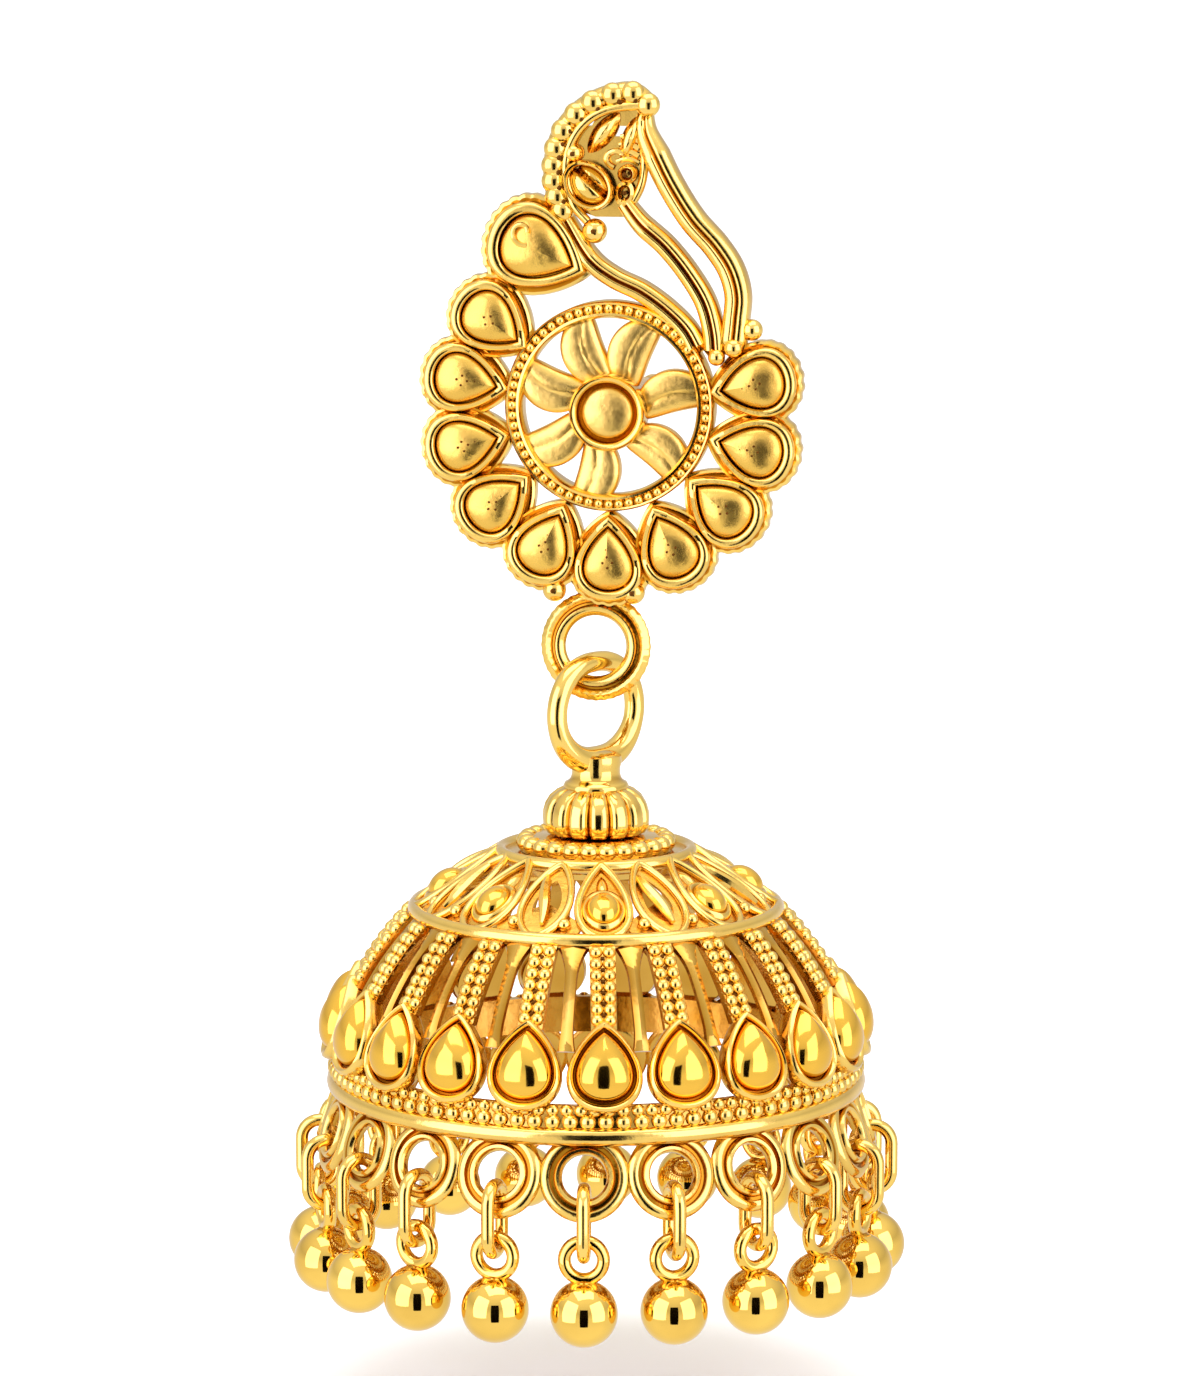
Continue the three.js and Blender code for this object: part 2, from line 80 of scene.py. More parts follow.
# The studio: a light tent. Its walls are pale overhead and underfoot and dimmer behind, with a soft
# box at each side and one above. A black card stands in the slit between the two side boxes, which
# polished gold shows as a dark bar down the middle of every round.
TENT = [(0.00, 1.05), (0.20, 1.05), (0.30, 1.0), (0.46, 0.98), (0.62, 0.70), (0.90, 1.05)]
TENT_TINT = (1.0, 0.97, 1.02)
TENT_BACK = 0.84
WHITE_LIGHT = 1.25

room = bpy.data.worlds.new("room")
room.use_nodes = True
bpy.context.scene.world = room
nodes, links = room.node_tree.nodes, room.node_tree.links
nodes.clear()
direction = nodes.new("ShaderNodeTexCoord")
parts = nodes.new("ShaderNodeSeparateXYZ")
height = nodes.new("ShaderNodeMapRange")
height.inputs["From Min"].default_value = -1.0
ramp = nodes.new("ShaderNodeValToRGB")
for number, (place, light) in enumerate(TENT):
    stop = ramp.color_ramp.elements[number] if number < 2 else ramp.color_ramp.elements.new(place)
    stop.position = place
    stop.color = (*[light * part for part in TENT_TINT], 1)
behind = nodes.new("ShaderNodeMapRange")
behind.inputs["From Min"].default_value = -0.2
behind.inputs["From Max"].default_value = 0.8
behind.inputs["To Min"].default_value = 1.0
behind.inputs["To Max"].default_value = TENT_BACK
tent = nodes.new("ShaderNodeBackground")
backdrop = nodes.new("ShaderNodeBackground")
backdrop.inputs["Color"].default_value = (1.0, 1.0, 0.97, 1.0)
backdrop.inputs["Strength"].default_value = WHITE_LIGHT
seen = nodes.new("ShaderNodeLightPath")
either = nodes.new("ShaderNodeMixShader")
out = nodes.new("ShaderNodeOutputWorld")
links.new(direction.outputs["Generated"], parts.inputs[0])
links.new(parts.outputs["Z"], height.inputs["Value"])
links.new(height.outputs[0], ramp.inputs["Fac"])
links.new(parts.outputs["Y"], behind.inputs["Value"])
links.new(ramp.outputs["Color"], tent.inputs["Color"])
links.new(behind.outputs[0], tent.inputs["Strength"])
links.new(seen.outputs["Is Glossy Ray"], either.inputs["Fac"])
links.new(backdrop.outputs[0], either.inputs[1])
links.new(tent.outputs[0], either.inputs[2])
links.new(either.outputs[0], out.inputs["Surface"])


def soft_box(name, place, width, height, watts, colour):
    """A rectangle of even light at a place, turned to face the earring."""
    data = bpy.data.lights.new(name, "AREA")
    data.shape = "RECTANGLE"
    data.size = width
    data.size_y = height
    data.energy = watts
    data.color = colour
    box = bpy.data.objects.new(name, data)
    box.location = place
    box.rotation_euler = (LOOKED_AT - Vector(place)).to_track_quat("-Z", "Y").to_euler()
    bpy.context.scene.collection.objects.link(box)


soft_box("left_box", (-0.44, -0.46, 0.12), 0.62, 0.80, 2.9, (1.0, 0.87, 1.42))
soft_box("right_box", (0.60, -0.34, 0.14), 0.62, 0.80, 2.7, (1.0, 0.87, 1.42))
soft_box("top_box", (0.02, -0.05, 0.60), 0.60, 0.50, 1.8, (1.0, 0.91, 1.25))


def dark_card(name, corners):
    """A black card that only polished metal sees: it lights nothing, shades nothing and isn't in the
    picture itself."""
    mesh = bpy.data.meshes.new(name)
    mesh.from_pydata(corners, [], [(0, 1, 2, 3)])
    card = bpy.data.objects.new(name, mesh)
    bpy.context.scene.collection.objects.link(card)
    paint = bpy.data.materials.new(name)
    paint.use_nodes = True
    shader = paint.node_tree.nodes["Principled BSDF"]
    shader.inputs["Base Color"].default_value = (0.004, 0.003, 0.002, 1)
    shader.inputs["Roughness"].default_value = 1.0
    shader.inputs["Specular IOR Level"].default_value = 0.0
    mesh.materials.append(paint)
    card.visible_camera = False
    card.visible_diffuse = False
    card.visible_shadow = False
    card.visible_transmission = False


dark_card("front_slit", [(-0.022, -0.262, -0.190), (0.100, -0.242, -0.190),
                         (0.100, -0.242, 0.090), (-0.022, -0.262, 0.090)])

# The stud's pear settings: ten cups round the flower, tips inward, cast in yellow brass and gold
# plated. Each is a scalloped flange with a dished back and a broad smooth bezel round a satin
# cabochon with a few pits, drawn as dark dots of painted shade. The cups are soldered to each other
# and to the flower's ring.
MM = 0.001
SHARP_ANGLE = 0.75
# DEEP_GOLD and SHADE_GOLD are the darker colours of the paints: random tone moves a little towards them,
# painted shade in recesses moves a lot.
BRIGHT_GOLD = (1.0, 0.695, 0.165, 1)
DEEP_GOLD = (0.88, 0.50, 0.055, 1)
SHADE_GOLD = (0.46, 0.21, 0.012, 1)


def gold_paint(name, face, tone_and_painted_shade, roughness, grain, bump):
    """Polished plate. Cloudy noise moves the colour a little from face towards the darker colour as
    random tone. The piece's own attribute of painted shade moves it a lot, painting shade into recesses,
    grooves and undersides. Finer noise gives the uneven roughness and the cast surface."""
    paint = bpy.data.materials.new(name)
    paint.use_nodes = True
    nodes, links = paint.node_tree.nodes, paint.node_tree.links
    shader = nodes["Principled BSDF"]
    shader.inputs["Metallic"].default_value = 1.0
    place = nodes.new("ShaderNodeTexCoord")
    # The attribute read here holds painted shade: it darkens the colour where shade falls.
    painted_shade = nodes.new("ShaderNodeAttribute")
    painted_shade.attribute_name = "painted_shade"
    cloud = nodes.new("ShaderNodeTexNoise")
    cloud.inputs["Scale"].default_value = 420.0
    cloud.inputs["Detail"].default_value = 3.0
    cloudy = nodes.new("ShaderNodeMapRange")
    cloudy.inputs["From Min"].default_value = 0.35
    cloudy.inputs["From Max"].default_value = 0.75
    cloudy.inputs["To Max"].default_value = 0.28
    # Random tone and painted shade, added together, are the share of the darker colour.
    tone_and_shade = nodes.new("ShaderNodeMath")
    tone_and_shade.operation = "ADD"
    tone_and_shade.use_clamp = True
    mix = nodes.new("ShaderNodeMix")
    mix.data_type = "RGBA"
    mix.inputs["A"].default_value = face
    mix.inputs["B"].default_value = tone_and_painted_shade
    skin = nodes.new("ShaderNodeTexNoise")
    skin.inputs["Scale"].default_value = grain
    skin.inputs["Detail"].default_value = 4.0
    rough = nodes.new("ShaderNodeMapRange")
    rough.inputs["To Min"].default_value = roughness * 0.65
    rough.inputs["To Max"].default_value = roughness * 1.45
    relief = nodes.new("ShaderNodeBump")
    relief.inputs["Strength"].default_value = bump
    relief.inputs["Distance"].default_value = 0.00004
    links.new(place.outputs["Object"], cloud.inputs["Vector"])
    links.new(place.outputs["Object"], skin.inputs["Vector"])
    links.new(cloud.outputs["Fac"], cloudy.inputs["Value"])
    links.new(cloudy.outputs[0], tone_and_shade.inputs[0])
    links.new(painted_shade.outputs["Fac"], tone_and_shade.inputs[1])
    links.new(tone_and_shade.outputs[0], mix.inputs["Factor"])
    links.new(mix.outputs["Result"], shader.inputs["Base Color"])
    links.new(skin.outputs["Fac"], rough.inputs["Value"])
    links.new(rough.outputs[0], shader.inputs["Roughness"])
    links.new(skin.outputs["Fac"], relief.inputs["Height"])
    links.new(relief.outputs["Normal"], shader.inputs["Normal"])
    return paint


stud_gold = gold_paint("stud_gold", BRIGHT_GOLD, SHADE_GOLD, 0.13, 2600.0, 0.20)
satin_gold = gold_paint("satin_gold", (1.0, 0.69, 0.17, 1), DEEP_GOLD, 0.30, 3600.0, 0.45)
stone_gold = gold_paint("stone_gold", (0.94, 0.61, 0.115, 1), (0.60, 0.29, 0.025, 1), 0.26, 2400.0, 0.55)
# Near-black paint for the pits: painted shade, standing in for the shade inside each pit.
pit_shade_paint = gold_paint("pit_shade_paint", (0.16, 0.06, 0.008, 1), (0.05, 0.02, 0.004, 1), 0.5, 3000.0, 0.3)


def panels(rows, columns, rows_close, columns_close):
    """The quads between each row of points and the next, closed round either way."""
    row, column = np.meshgrid(np.arange(rows if rows_close else rows - 1),
                              np.arange(columns if columns_close else columns - 1), indexing="ij")
    next_row, next_column = (row + 1) % rows, (column + 1) % columns
    corners = (row * columns + column, row * columns + next_column,
               next_row * columns + next_column, next_row * columns + column)
    return np.stack(corners, -1).reshape(-1, 4)


def circle(sides):
    """A round outline of radius one."""
    angle = np.linspace(0, 2 * np.pi, sides, endpoint=False)
    return np.stack([np.cos(angle), np.sin(angle)], -1)


def turned(profile, outline, closed=False):
    """A profile carried round an outline: each point is the outline's point times the row's share,
    at the row's height. The row's third value is how much shade is painted on it, most in recesses."""
    rows = np.array(profile, float)
    points = np.empty((len(rows), len(outline), 3))
    points[..., :2] = rows[:, None, :1] * outline[None]
    points[..., 2] = rows[:, None, 1]
    painted_shade = np.repeat(rows[:, 2], len(outline))
    return points.reshape(-1, 3), panels(len(rows), len(outline), closed, True), painted_shade


def moved(shape, right, up, out, place):
    """Copies of a shape, one for each row of the arrays: a point is its place plus x along right,
    y along up and z along out."""
    points, quads, painted_shade = shape
    right, up, out, place = np.broadcast_arrays(*map(np.atleast_2d, (right, up, out, place)))
    spread = place[:, None] + np.einsum("pi,kij->kpj", points, np.stack([right, up, out], 1))
    shifts = np.arange(len(place))[:, None, None] * len(points)
    return spread.reshape(-1, 3), (quads[None] + shifts).reshape(-1, 4), np.tile(painted_shade, len(place))


def together(*shapes):
    """Several shapes as one, each keeping its own points."""
    shifts = np.cumsum([0] + [len(shape[0]) for shape in shapes[:-1]])
    return (np.concatenate([shape[0] for shape in shapes]),
            np.concatenate([shape[1] + shift for shape, shift in zip(shapes, shifts)]),
            np.concatenate([shape[2] for shape in shapes]))


def piece(name, shape, paint, body, replaced=()):
    """A shape as an object on a body: poles merged, faces turned outwards, smooth but for sharp
    edges."""
    points, quads, painted_shade = shape
    mesh = bpy.data.meshes.new(name)
    mesh.from_pydata(points * MM, [], quads.tolist())
    # The third values go into an attribute of painted shade, which the paints darken by.
    mesh.attributes.new("painted_shade", "FLOAT", "POINT").data.foreach_set("value", painted_shade.astype(np.float32))
    cleaned = bmesh.new()
    cleaned.from_mesh(mesh)
    bmesh.ops.remove_doubles(cleaned, verts=cleaned.verts, dist=2e-9)
    bmesh.ops.recalc_face_normals(cleaned, faces=cleaned.faces)
    cleaned.to_mesh(mesh)
    cleaned.free()
    mesh.shade_smooth()
    mesh.set_sharp_from_angle(angle=SHARP_ANGLE)
    mesh.materials.append(paint)
    made = bpy.data.objects.new(name, mesh)
    bpy.context.scene.collection.objects.link(made)
    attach(made, body)
    if replaced:
        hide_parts(*replaced)


def teardrop(length, width, sides, lobes=0, lobe_depth=0.0, fullness=1.0):
    """An outline with its tip at angle zero: x is half the length times the angle's cosine, y is half
    the width times its sine times a power of the sine of half of it. Lobes swell its round end."""
    angle = np.linspace(0, 2 * np.pi, sides, endpoint=False)
    swell = 1 + lobe_depth * np.sin(angle / 2) ** 4 * np.abs(np.cos(lobes * angle / 2))
    side = np.sin(angle) * np.abs(np.sin(angle / 2)) ** fullness
    return np.stack([swell * length / 2 * np.cos(angle), swell * width / 2 * side / side.max()], -1)


def on_stud(shape):
    """From the stud's own right, up and out to the room's axes, where the stud faces the viewer."""
    points, quads, painted_shade = shape
    return np.stack([points[:, 0], -points[:, 2], points[:, 1]], -1), quads, painted_shade


FLOWER_RADIUS = 7.22
CUP_LENGTH = 3.6
CUP_WIDTH = 2.86
CUP_COUNT = 10
CUP_PITCH = 25.4
FIRST_CUP = 142.8
CUP_STAGGER = 0.03
STONE_SHARE = 0.65
# Places of the dark dots of painted shade on each cabochon.
STAR = np.array([[0.10, 0.0, 1.445], [-0.12, 0.16, 1.45], [-0.30, -0.02, 1.455], [-0.10, -0.20, 1.44],
                 [0.36, 0.04, 1.40]])


def cup(length, width, lobes, sides):
    """A pear setting on its back: a scalloped flange, then a broad bezel that stands above it."""
    plain = teardrop(length, width, sides, fullness=0.8)
    edge = teardrop(length, 1.08 * width, sides, lobes, 0.045, 0.55) * 0.98
    flange = turned([(0, 0.24, 0.9), (0.55, 0.22, 0.8), (0.74, 0.12, 0.6), (0.80, 0.01, 0.3), (0.97, 0, 0.3),
                     (1.0, 0.25, 0.3), (1.0, 0.70, 0), (0.975, 0.84, 0), (0.92, 0.88, 0), (0.87, 0.82, 0.2),
                     (0.83, 0.76, 0.7), (0.6, 0.72, 1), (0, 0.72, 1)], edge)
    bezel = turned([(0.90, 0.6, 0.9), (0.89, 1.10, 0.3), (0.865, 1.24, 0), (0.82, 1.295, 0), (0.72, 1.295, 0),
                    (0.685, 1.25, 0), (0.668, 1.12, 0.4), (0.66, 0.6, 1)], plain, closed=True)
    return together(flange, bezel)


def domed(share, foot, rise, base, shade, power=6, least=0.0):
    """The rows of a dome and its base: the height falls from the middle as a quarter of an ellipse,
    and the painted shade grows from its least with a power of the way out."""
    reach = np.sin(np.linspace(0, np.pi / 2, 12))
    rows = [(share * r, foot + rise * np.sqrt(max(0.0, 1 - r * r)), least + shade * r ** power)
            for r in reach]
    return rows + [(share, base, 1), (0, base, 1)]


def cabochon(length, width, foot, rise, sides):
    """A low dome over a teardrop."""
    outline = teardrop(length, width, sides, fullness=0.9)
    return turned(domed(STONE_SHARE, foot, rise, foot - 0.25, 0.45), outline)


turn = np.radians(FIRST_CUP + CUP_PITCH * np.arange(CUP_COUNT))
inward = np.stack([-np.cos(turn), -np.sin(turn), 0 * turn], -1)
sideways = np.stack([np.sin(turn), -np.cos(turn), 0 * turn], -1)
cup_middles = -inward * (FLOWER_RADIUS - CUP_LENGTH / 2)
cup_middles[::2, 2] += CUP_STAGGER
cup_axes = (inward, sideways, (0, 0, 1), cup_middles)
cups = moved(cup(CUP_LENGTH, CUP_WIDTH, 24, 120), *cup_axes)
piece("stud_cups", on_stud(cups), stud_gold, "stud", ["stud_plate"])
stones = moved(cabochon(CUP_LENGTH, CUP_WIDTH, 1.04, 0.40, 72), *cup_axes)
piece("stud_cabochons", on_stud(stones), stone_gold, "stud")


def bead(radius, around=8, levels=6, squash=1.0):
    """A round bead: a half circle turned about the way out, with painted shade towards its foot."""
    lift = np.linspace(-np.pi / 2, np.pi / 2, levels + 1)
    profile = np.stack([radius * np.cos(lift), squash * radius * np.sin(lift),
                        np.clip(0.25 - 0.9 * np.sin(lift), 0, 1)], -1)
    profile[[0, -1], 0] = 0
    return turned(profile, circle(around))


def beads_at(places, out, radius, **shape):
    """A bead at each place, standing along its way out."""
    places = np.asarray(places, float)
    out = np.broadcast_to(np.asarray(out, float), places.shape)
    guide = np.where(np.abs(out[:, 2:]) < 0.9, [[0.0, 0.0, 1.0]], [[0.0, 1.0, 0.0]])
    right = np.cross(guide, out)
    right /= np.linalg.norm(right, axis=1, keepdims=True)
    return moved(bead(radius, **shape), right, np.cross(out, right), out, places)


# Dark dots of painted shade stand for the pits in each cabochon.
stars = moved(beads_at(STAR, (0, 0, 1), 0.05, around=6, levels=4, squash=0.4), *cup_axes)
piece("cabochon_pit_shade", on_stud(stars), pit_shade_paint, "stud")

# The large setting beside the crest: a heart-shaped cup of the same make, turned with its tip down
# to the right, whose cabochon has a curl of wire laid into its round end.
LARGE_LENGTH = 4.3
LARGE_WIDTH = 3.5
LARGE_DISTANCE = 6.45
LARGE_ANGLE = np.radians(114)
LARGE_TURN = -24


def swept(path, across, out, section, closed=False, size=None):
    """A section carried along a path: a point is the path's point plus the section's first value
    along across and its second along out, times the size there. The section's third value is how much
    shade is painted on it. Open ends are closed to their middle."""
    rows = np.array(section, float)
    across, out = (np.broadcast_to(way, path.shape)[:, None] for way in (across, out))
    size = np.ones(len(path)) if size is None else size
    reach = size[:, None, None] * (rows[None, :, :1] * across + rows[None, :, 1:2] * out)
    points = path[:, None] + reach
    painted_shade = np.tile(rows[:, 2], (len(path), 1))
    if not closed:
        first, last = points[:1].mean(1, keepdims=True), points[-1:].mean(1, keepdims=True)
        ends = np.ones((1, len(rows), 1))
        points = np.concatenate([first * ends, points, last * ends])
        painted_shade = np.concatenate([painted_shade[:1], painted_shade, painted_shade[-1:]])
    return points.reshape(-1, 3), panels(len(points), len(rows), closed, True), painted_shade.reshape(-1)


def round_wire(radius, sides, shade=0.0):
    """A round section with painted shade on its lower half, by the given share."""
    across, up = circle(sides).T
    return np.stack([radius * across, radius * up, shade * np.clip(-up, 0, 1)], -1)


def beside(path, out, closed=False):
    """The direction across a path at each point: its own direction crossed with the way out."""
    if closed:
        along = np.roll(path, -1, 0) - np.roll(path, 1, 0)
    else:
        along = np.gradient(path, axis=0)
    across = np.cross(along, out)
    return across / np.linalg.norm(across, axis=1, keepdims=True)


def wire_on(path, radius, sides=10, closed=False, size=None, shade=0.5, out=(0, 0, 1)):
    """A round wire laid along a path, on a surface whose way out is given."""
    return swept(path, beside(path, out, closed), out, round_wire(radius, sides, shade), closed, size)


def laid(shape, place, degrees=0):
    """A shape laid flat at a place, turned by an angle about the way out."""
    cos, sin = np.cos(np.radians(degrees)), np.sin(np.radians(degrees))
    return moved(shape, (cos, sin, 0), (-sin, cos, 0), (0, 0, 1), place)


large_place = LARGE_DISTANCE * np.array([np.cos(LARGE_ANGLE), np.sin(LARGE_ANGLE), 0])
curl_turn = np.linspace(0.9, 0.9 + 1.6 * np.pi, 26)
curl_reach = np.linspace(0.50, 0.16, 26)
curl = np.stack([-0.72 + curl_reach * np.cos(curl_turn), 0.42 - curl_reach * np.sin(curl_turn),
                 np.linspace(1.40, 1.56, 26)], -1)
curl = wire_on(curl, 0.10, 8, size=np.linspace(1.1, 0.8, 26))
large = laid(together(cup(LARGE_LENGTH, LARGE_WIDTH, 28, 120), curl), large_place, LARGE_TURN)
piece("large_cup", on_stud(large), stud_gold, "stud")
stone = laid(cabochon(LARGE_LENGTH, LARGE_WIDTH, 1.06, 0.42, 96), large_place, LARGE_TURN)
piece("large_cabochon", on_stud(stone), stone_gold, "stud")

# The flower: seven swirled petals and a disc, both satin. The disc sits in the bezel of a polished
# round boss, and the petals, cast in one with it, reach to a ring with fine beads between two wires.
RING_LIFT = 0.2
RING_BEADS = 60
BEAD_ROW = 3.60
PETAL_TURNS = np.radians([111, 67.6, 14.5, -40, -104.5, -152.6, 157])
PETAL_MIDDLE = 2.355
PETAL_LENGTH = 2.62
PETAL_WIDTH = 1.58
PETAL_SWIRL = 0.36

round_outline = circle(160)


def ring_places(count, radius, height):
    """Evenly spaced places round a circle."""
    return raised(radius * circle(count), height)


def raised(flat, height):
    """Flat places given a height above the stud's back or the dome's foot."""
    flat = np.asarray(flat, float)
    return np.concatenate([flat, np.broadcast_to(height, len(flat))[:, None]], 1)


ring_band = turned([(3.26, 0.05, 0.6), (3.22, 0.85, 0.3), (3.26, 1.10, 0), (3.34, 1.22, 0), (3.43, 1.20, 0),
                    (3.48, 1.08, 0.3), (3.60, 1.00, 0.6), (3.70, 1.06, 0.3), (3.74, 1.14, 0), (3.80, 1.16, 0),
                    (3.86, 1.08, 0), (3.86, 0.0, 0.5)], round_outline, closed=True)
ring_beads = beads_at(ring_places(RING_BEADS, BEAD_ROW, 1.06), (0, 0, 1), 0.18, around=8, levels=6)
boss = turned([(0, 0, 1), (1.34, 0, 1), (1.41, 0.4, 0.6), (1.41, 1.50, 0), (1.37, 1.66, 0), (1.30, 1.75, 0),
               (1.22, 1.74, 0), (1.14, 1.66, 0.1), (1.10, 1.52, 0.5), (1.09, 1.28, 1), (0.98, 1.20, 1),
               (0, 1.2, 1)], round_outline)
disc = turned(domed(0.95, 1.38, 0.24, 1.1, 0.5, 8), round_outline)


def petal():
    """A petal from the boss to the ring: a low swelling over a full oval, whose breadth is the 0.62
    power of the angle's sine. It has a faint crease, leans to one side, and bends sideways by the
    square of the distance from its own middle."""
    angle = np.linspace(0, 2 * np.pi, 56, endpoint=False)
    breadth = np.sign(np.sin(angle)) * np.abs(np.sin(angle)) ** 0.62
    outline = np.stack([PETAL_LENGTH / 2 * np.cos(angle), PETAL_WIDTH / 2 * breadth], -1)
    rows = [(0, 0.25, 0.7), (0.9, 0.25, 0.7), (1.0, 0.40, 0.7), (1.0, 0.74, 0.5), (0.96, 0.86, 0.1),
            (0.88, 0.94, 0), (0.70, 1.00, 0), (0.48, 1.035, 0), (0.28, 1.05, 0), (0.10, 1.06, 0),
            (0, 1.06, 0)]
    points, quads, painted_shade = turned(rows, outline)
    x, y, h = points.T
    middle = np.exp(-((y - 0.12) / 0.09) ** 2) * (h > 0.6)
    lean = 0.14 * y / PETAL_WIDTH * (h > 0.6)
    bend = PETAL_SWIRL * (2 * x / PETAL_LENGTH) ** 2
    points = np.stack([-x, -y - bend, h - 0.06 * middle - lean], -1)
    # Shade is painted along the crease.
    return points, quads, np.clip(painted_shade + 0.3 * middle, 0, 1)


petal_out = np.stack([np.cos(PETAL_TURNS), np.sin(PETAL_TURNS), 0 * PETAL_TURNS], -1)
petal_across = np.stack([-np.sin(PETAL_TURNS), np.cos(PETAL_TURNS), 0 * PETAL_TURNS], -1)
petals = moved(petal(), petal_out, petal_across, (0, 0, 1),
               petal_out * PETAL_MIDDLE + petal_across * PETAL_SWIRL / 2)
ring = laid(together(ring_band, ring_beads), (0, RING_LIFT, 0))
piece("flower", on_stud(together(ring, boss)), stud_gold, "stud")
piece("flower_petals", on_stud(together(disc, petals)), satin_gold, "stud")

# The crest: a paisley plate with two slots in it, a row of beads and a wire round its left edge, a
# wire and a few feathers at its right, two small leaves, a split oval in a bezel, two rings, a curl
# and a ball, all cast on and plated together. Dark dots of painted shade stand for pits inside the
# row of beads and in the rings.
CREST_ROWS = np.array([[7.10, -0.55, 0.60], [7.59, -1.75, 0.75], [8.38, -2.02, 1.20], [9.21, -2.02, 1.34],
                       [9.99, -1.85, 1.22], [10.58, -1.50, 1.20], [11.22, -0.80, 1.30], [11.58, -0.20, 1.30],
                       [11.70, 0.25, 1.10]])
CREST_SLOTS = [(34, 38, 8, 11), (30, 34, 20, 26)]
CREST_BEADS = np.array([[-1.76, 7.32], [-1.96, 7.84], [-2.08, 8.40], [-2.09, 8.97], [-1.99, 9.58],
                        [-1.73, 10.22], [-1.25, 10.82], [-0.64, 11.26], [0.10, 11.54], [0.84, 11.60],
                        [1.40, 11.18]])
CREST_BEAD_RADIUS = 0.45
CREST_PITS = np.array([[0.98, 11.36, 1.10], [0.41, 11.28, 1.10], [-0.40, 11.02, 1.10], [-1.02, 10.66, 1.10],
                       [-1.45, 10.22, 1.10], [-1.70, 9.74, 1.10], [-1.82, 9.26, 1.10], [-1.85, 8.74, 1.10],
                       [-1.82, 8.16, 1.10], [-1.66, 7.66, 1.10], [-1.33, 9.40, 1.26], [0.60, 8.66, 1.24],
                       [0.56, 7.98, 0.98]])
INNER_LINE = np.array([[-0.80, 6.95], [-1.25, 7.45], [-1.45, 7.95], [-1.58, 8.45], [-1.60, 8.95],
                       [-1.54, 9.40], [-1.36, 9.90], [-1.06, 10.36], [-0.64, 10.74], [-0.15, 10.98],
                       [0.40, 11.10], [1.10, 11.16]])
RIGHT_LINE = [[0.62, 7.30], [1.12, 8.20], [1.26, 9.10], [1.18, 9.95], [1.14, 10.6]]
BEAN_SIZE = [2.05, 1.64]


def flowing(stations, count):
    """A smooth line through the stations: between two of them it is the cubic that leaves and arrives
    with the slopes of their neighbours' chords, spaced by the square root of the distance."""
    stations = np.asarray(stations, float)
    gaps = np.sqrt(np.linalg.norm(np.diff(stations, axis=0), axis=1))
    knots = np.concatenate([[0.0], np.cumsum(gaps)])
    slopes = np.gradient(stations, knots, axis=0)
    where = np.linspace(0, knots[-1], count)
    low = np.clip(np.searchsorted(knots, where, side="right") - 1, 0, len(stations) - 2)
    gap = (knots[low + 1] - knots[low])[:, None]
    s = (where - knots[low])[:, None] / gap
    return ((2 * s ** 3 - 3 * s ** 2 + 1) * stations[low] + (s ** 3 - 2 * s ** 2 + s) * gap * slopes[low]
            + (3 * s ** 2 - 2 * s ** 3) * stations[low + 1] + (s ** 3 - s ** 2) * gap * slopes[low + 1])


def slotted_plate(left, right, across, slots, foot, top, shade):
    """A plate between two edges: a grid of panels, with those in the slots left out, doubled at foot
    and top and joined by walls wherever a kept panel meets a missing one."""
    rows = len(left)
    share = np.linspace(0, 1, across)[None, :, None]
    flat = (left[:, None] * (1 - share) + right[:, None] * share).reshape(-1, 2)
    kept = np.zeros((rows + 1, across + 1), bool)
    kept[1:-1, 1:-1] = True
    for low, high, start, stop in slots:
        kept[low + 1:high + 1, start + 1:stop + 1] = False
    cell = np.argwhere(kept) - 1
    corner = cell[:, 0] * across + cell[:, 1]
    top_quads = np.stack([corner, corner + across, corner + across + 1, corner + 1], -1)
    count = len(flat)
    walls = []
    for step, ends in (((-1, 0), (0, 1)), ((1, 0), (across, across + 1)), ((0, -1), (0, across)),
                       ((0, 1), (1, across + 1))):
        open_side = kept & ~np.roll(kept, (-step[0], -step[1]), (0, 1))
        edge = np.argwhere(open_side) - 1
        start = edge[:, 0] * across + edge[:, 1]
        a, b = start + ends[0], start + ends[1]
        walls.append(np.stack([a, b, b + count, a + count], -1))
    points = np.concatenate([raised(flat, top), raised(flat, foot)])
    quads = np.concatenate([top_quads, top_quads[:, ::-1] + count, *walls])
    used, quads = np.unique(quads, return_inverse=True)
    # The whole plate carries the given share of painted shade.
    return points[used], quads.reshape(-1, 4), np.full(len(used), shade)


def leaf(length, width, sides):
    """An outline with a point at each end: x as the angle's cosine, y as its sine times the 0.4 power
    of the sine's size."""
    angle = np.linspace(0, 2 * np.pi, sides, endpoint=False)
    return np.stack([length / 2 * np.cos(angle),
                     width / 2 * np.sin(angle) * np.abs(np.sin(angle)) ** 0.4], -1)


def blade(length, width, foot, top, sides=40):
    """A low leaf folded along its middle: its height falls evenly to the edge, where it turns up a
    little."""
    reach = np.linspace(0, 1, 8)
    rows = [(r, foot + (top - foot) * (1 - r + 0.22 * np.sin(np.pi * r) ** 2), 0.5 * r ** 5) for r in reach]
    return turned(rows + [(1, foot - 0.3, 0.6), (0, foot - 0.3, 0.6)], leaf(length, width, sides))


def crest_wire(stations, count, height, radius, sides=10, **shape):
    """A round wire that flows through flat stations at one height above the stud's back."""
    return wire_on(raised(flowing(stations, count), height), radius, sides, **shape)


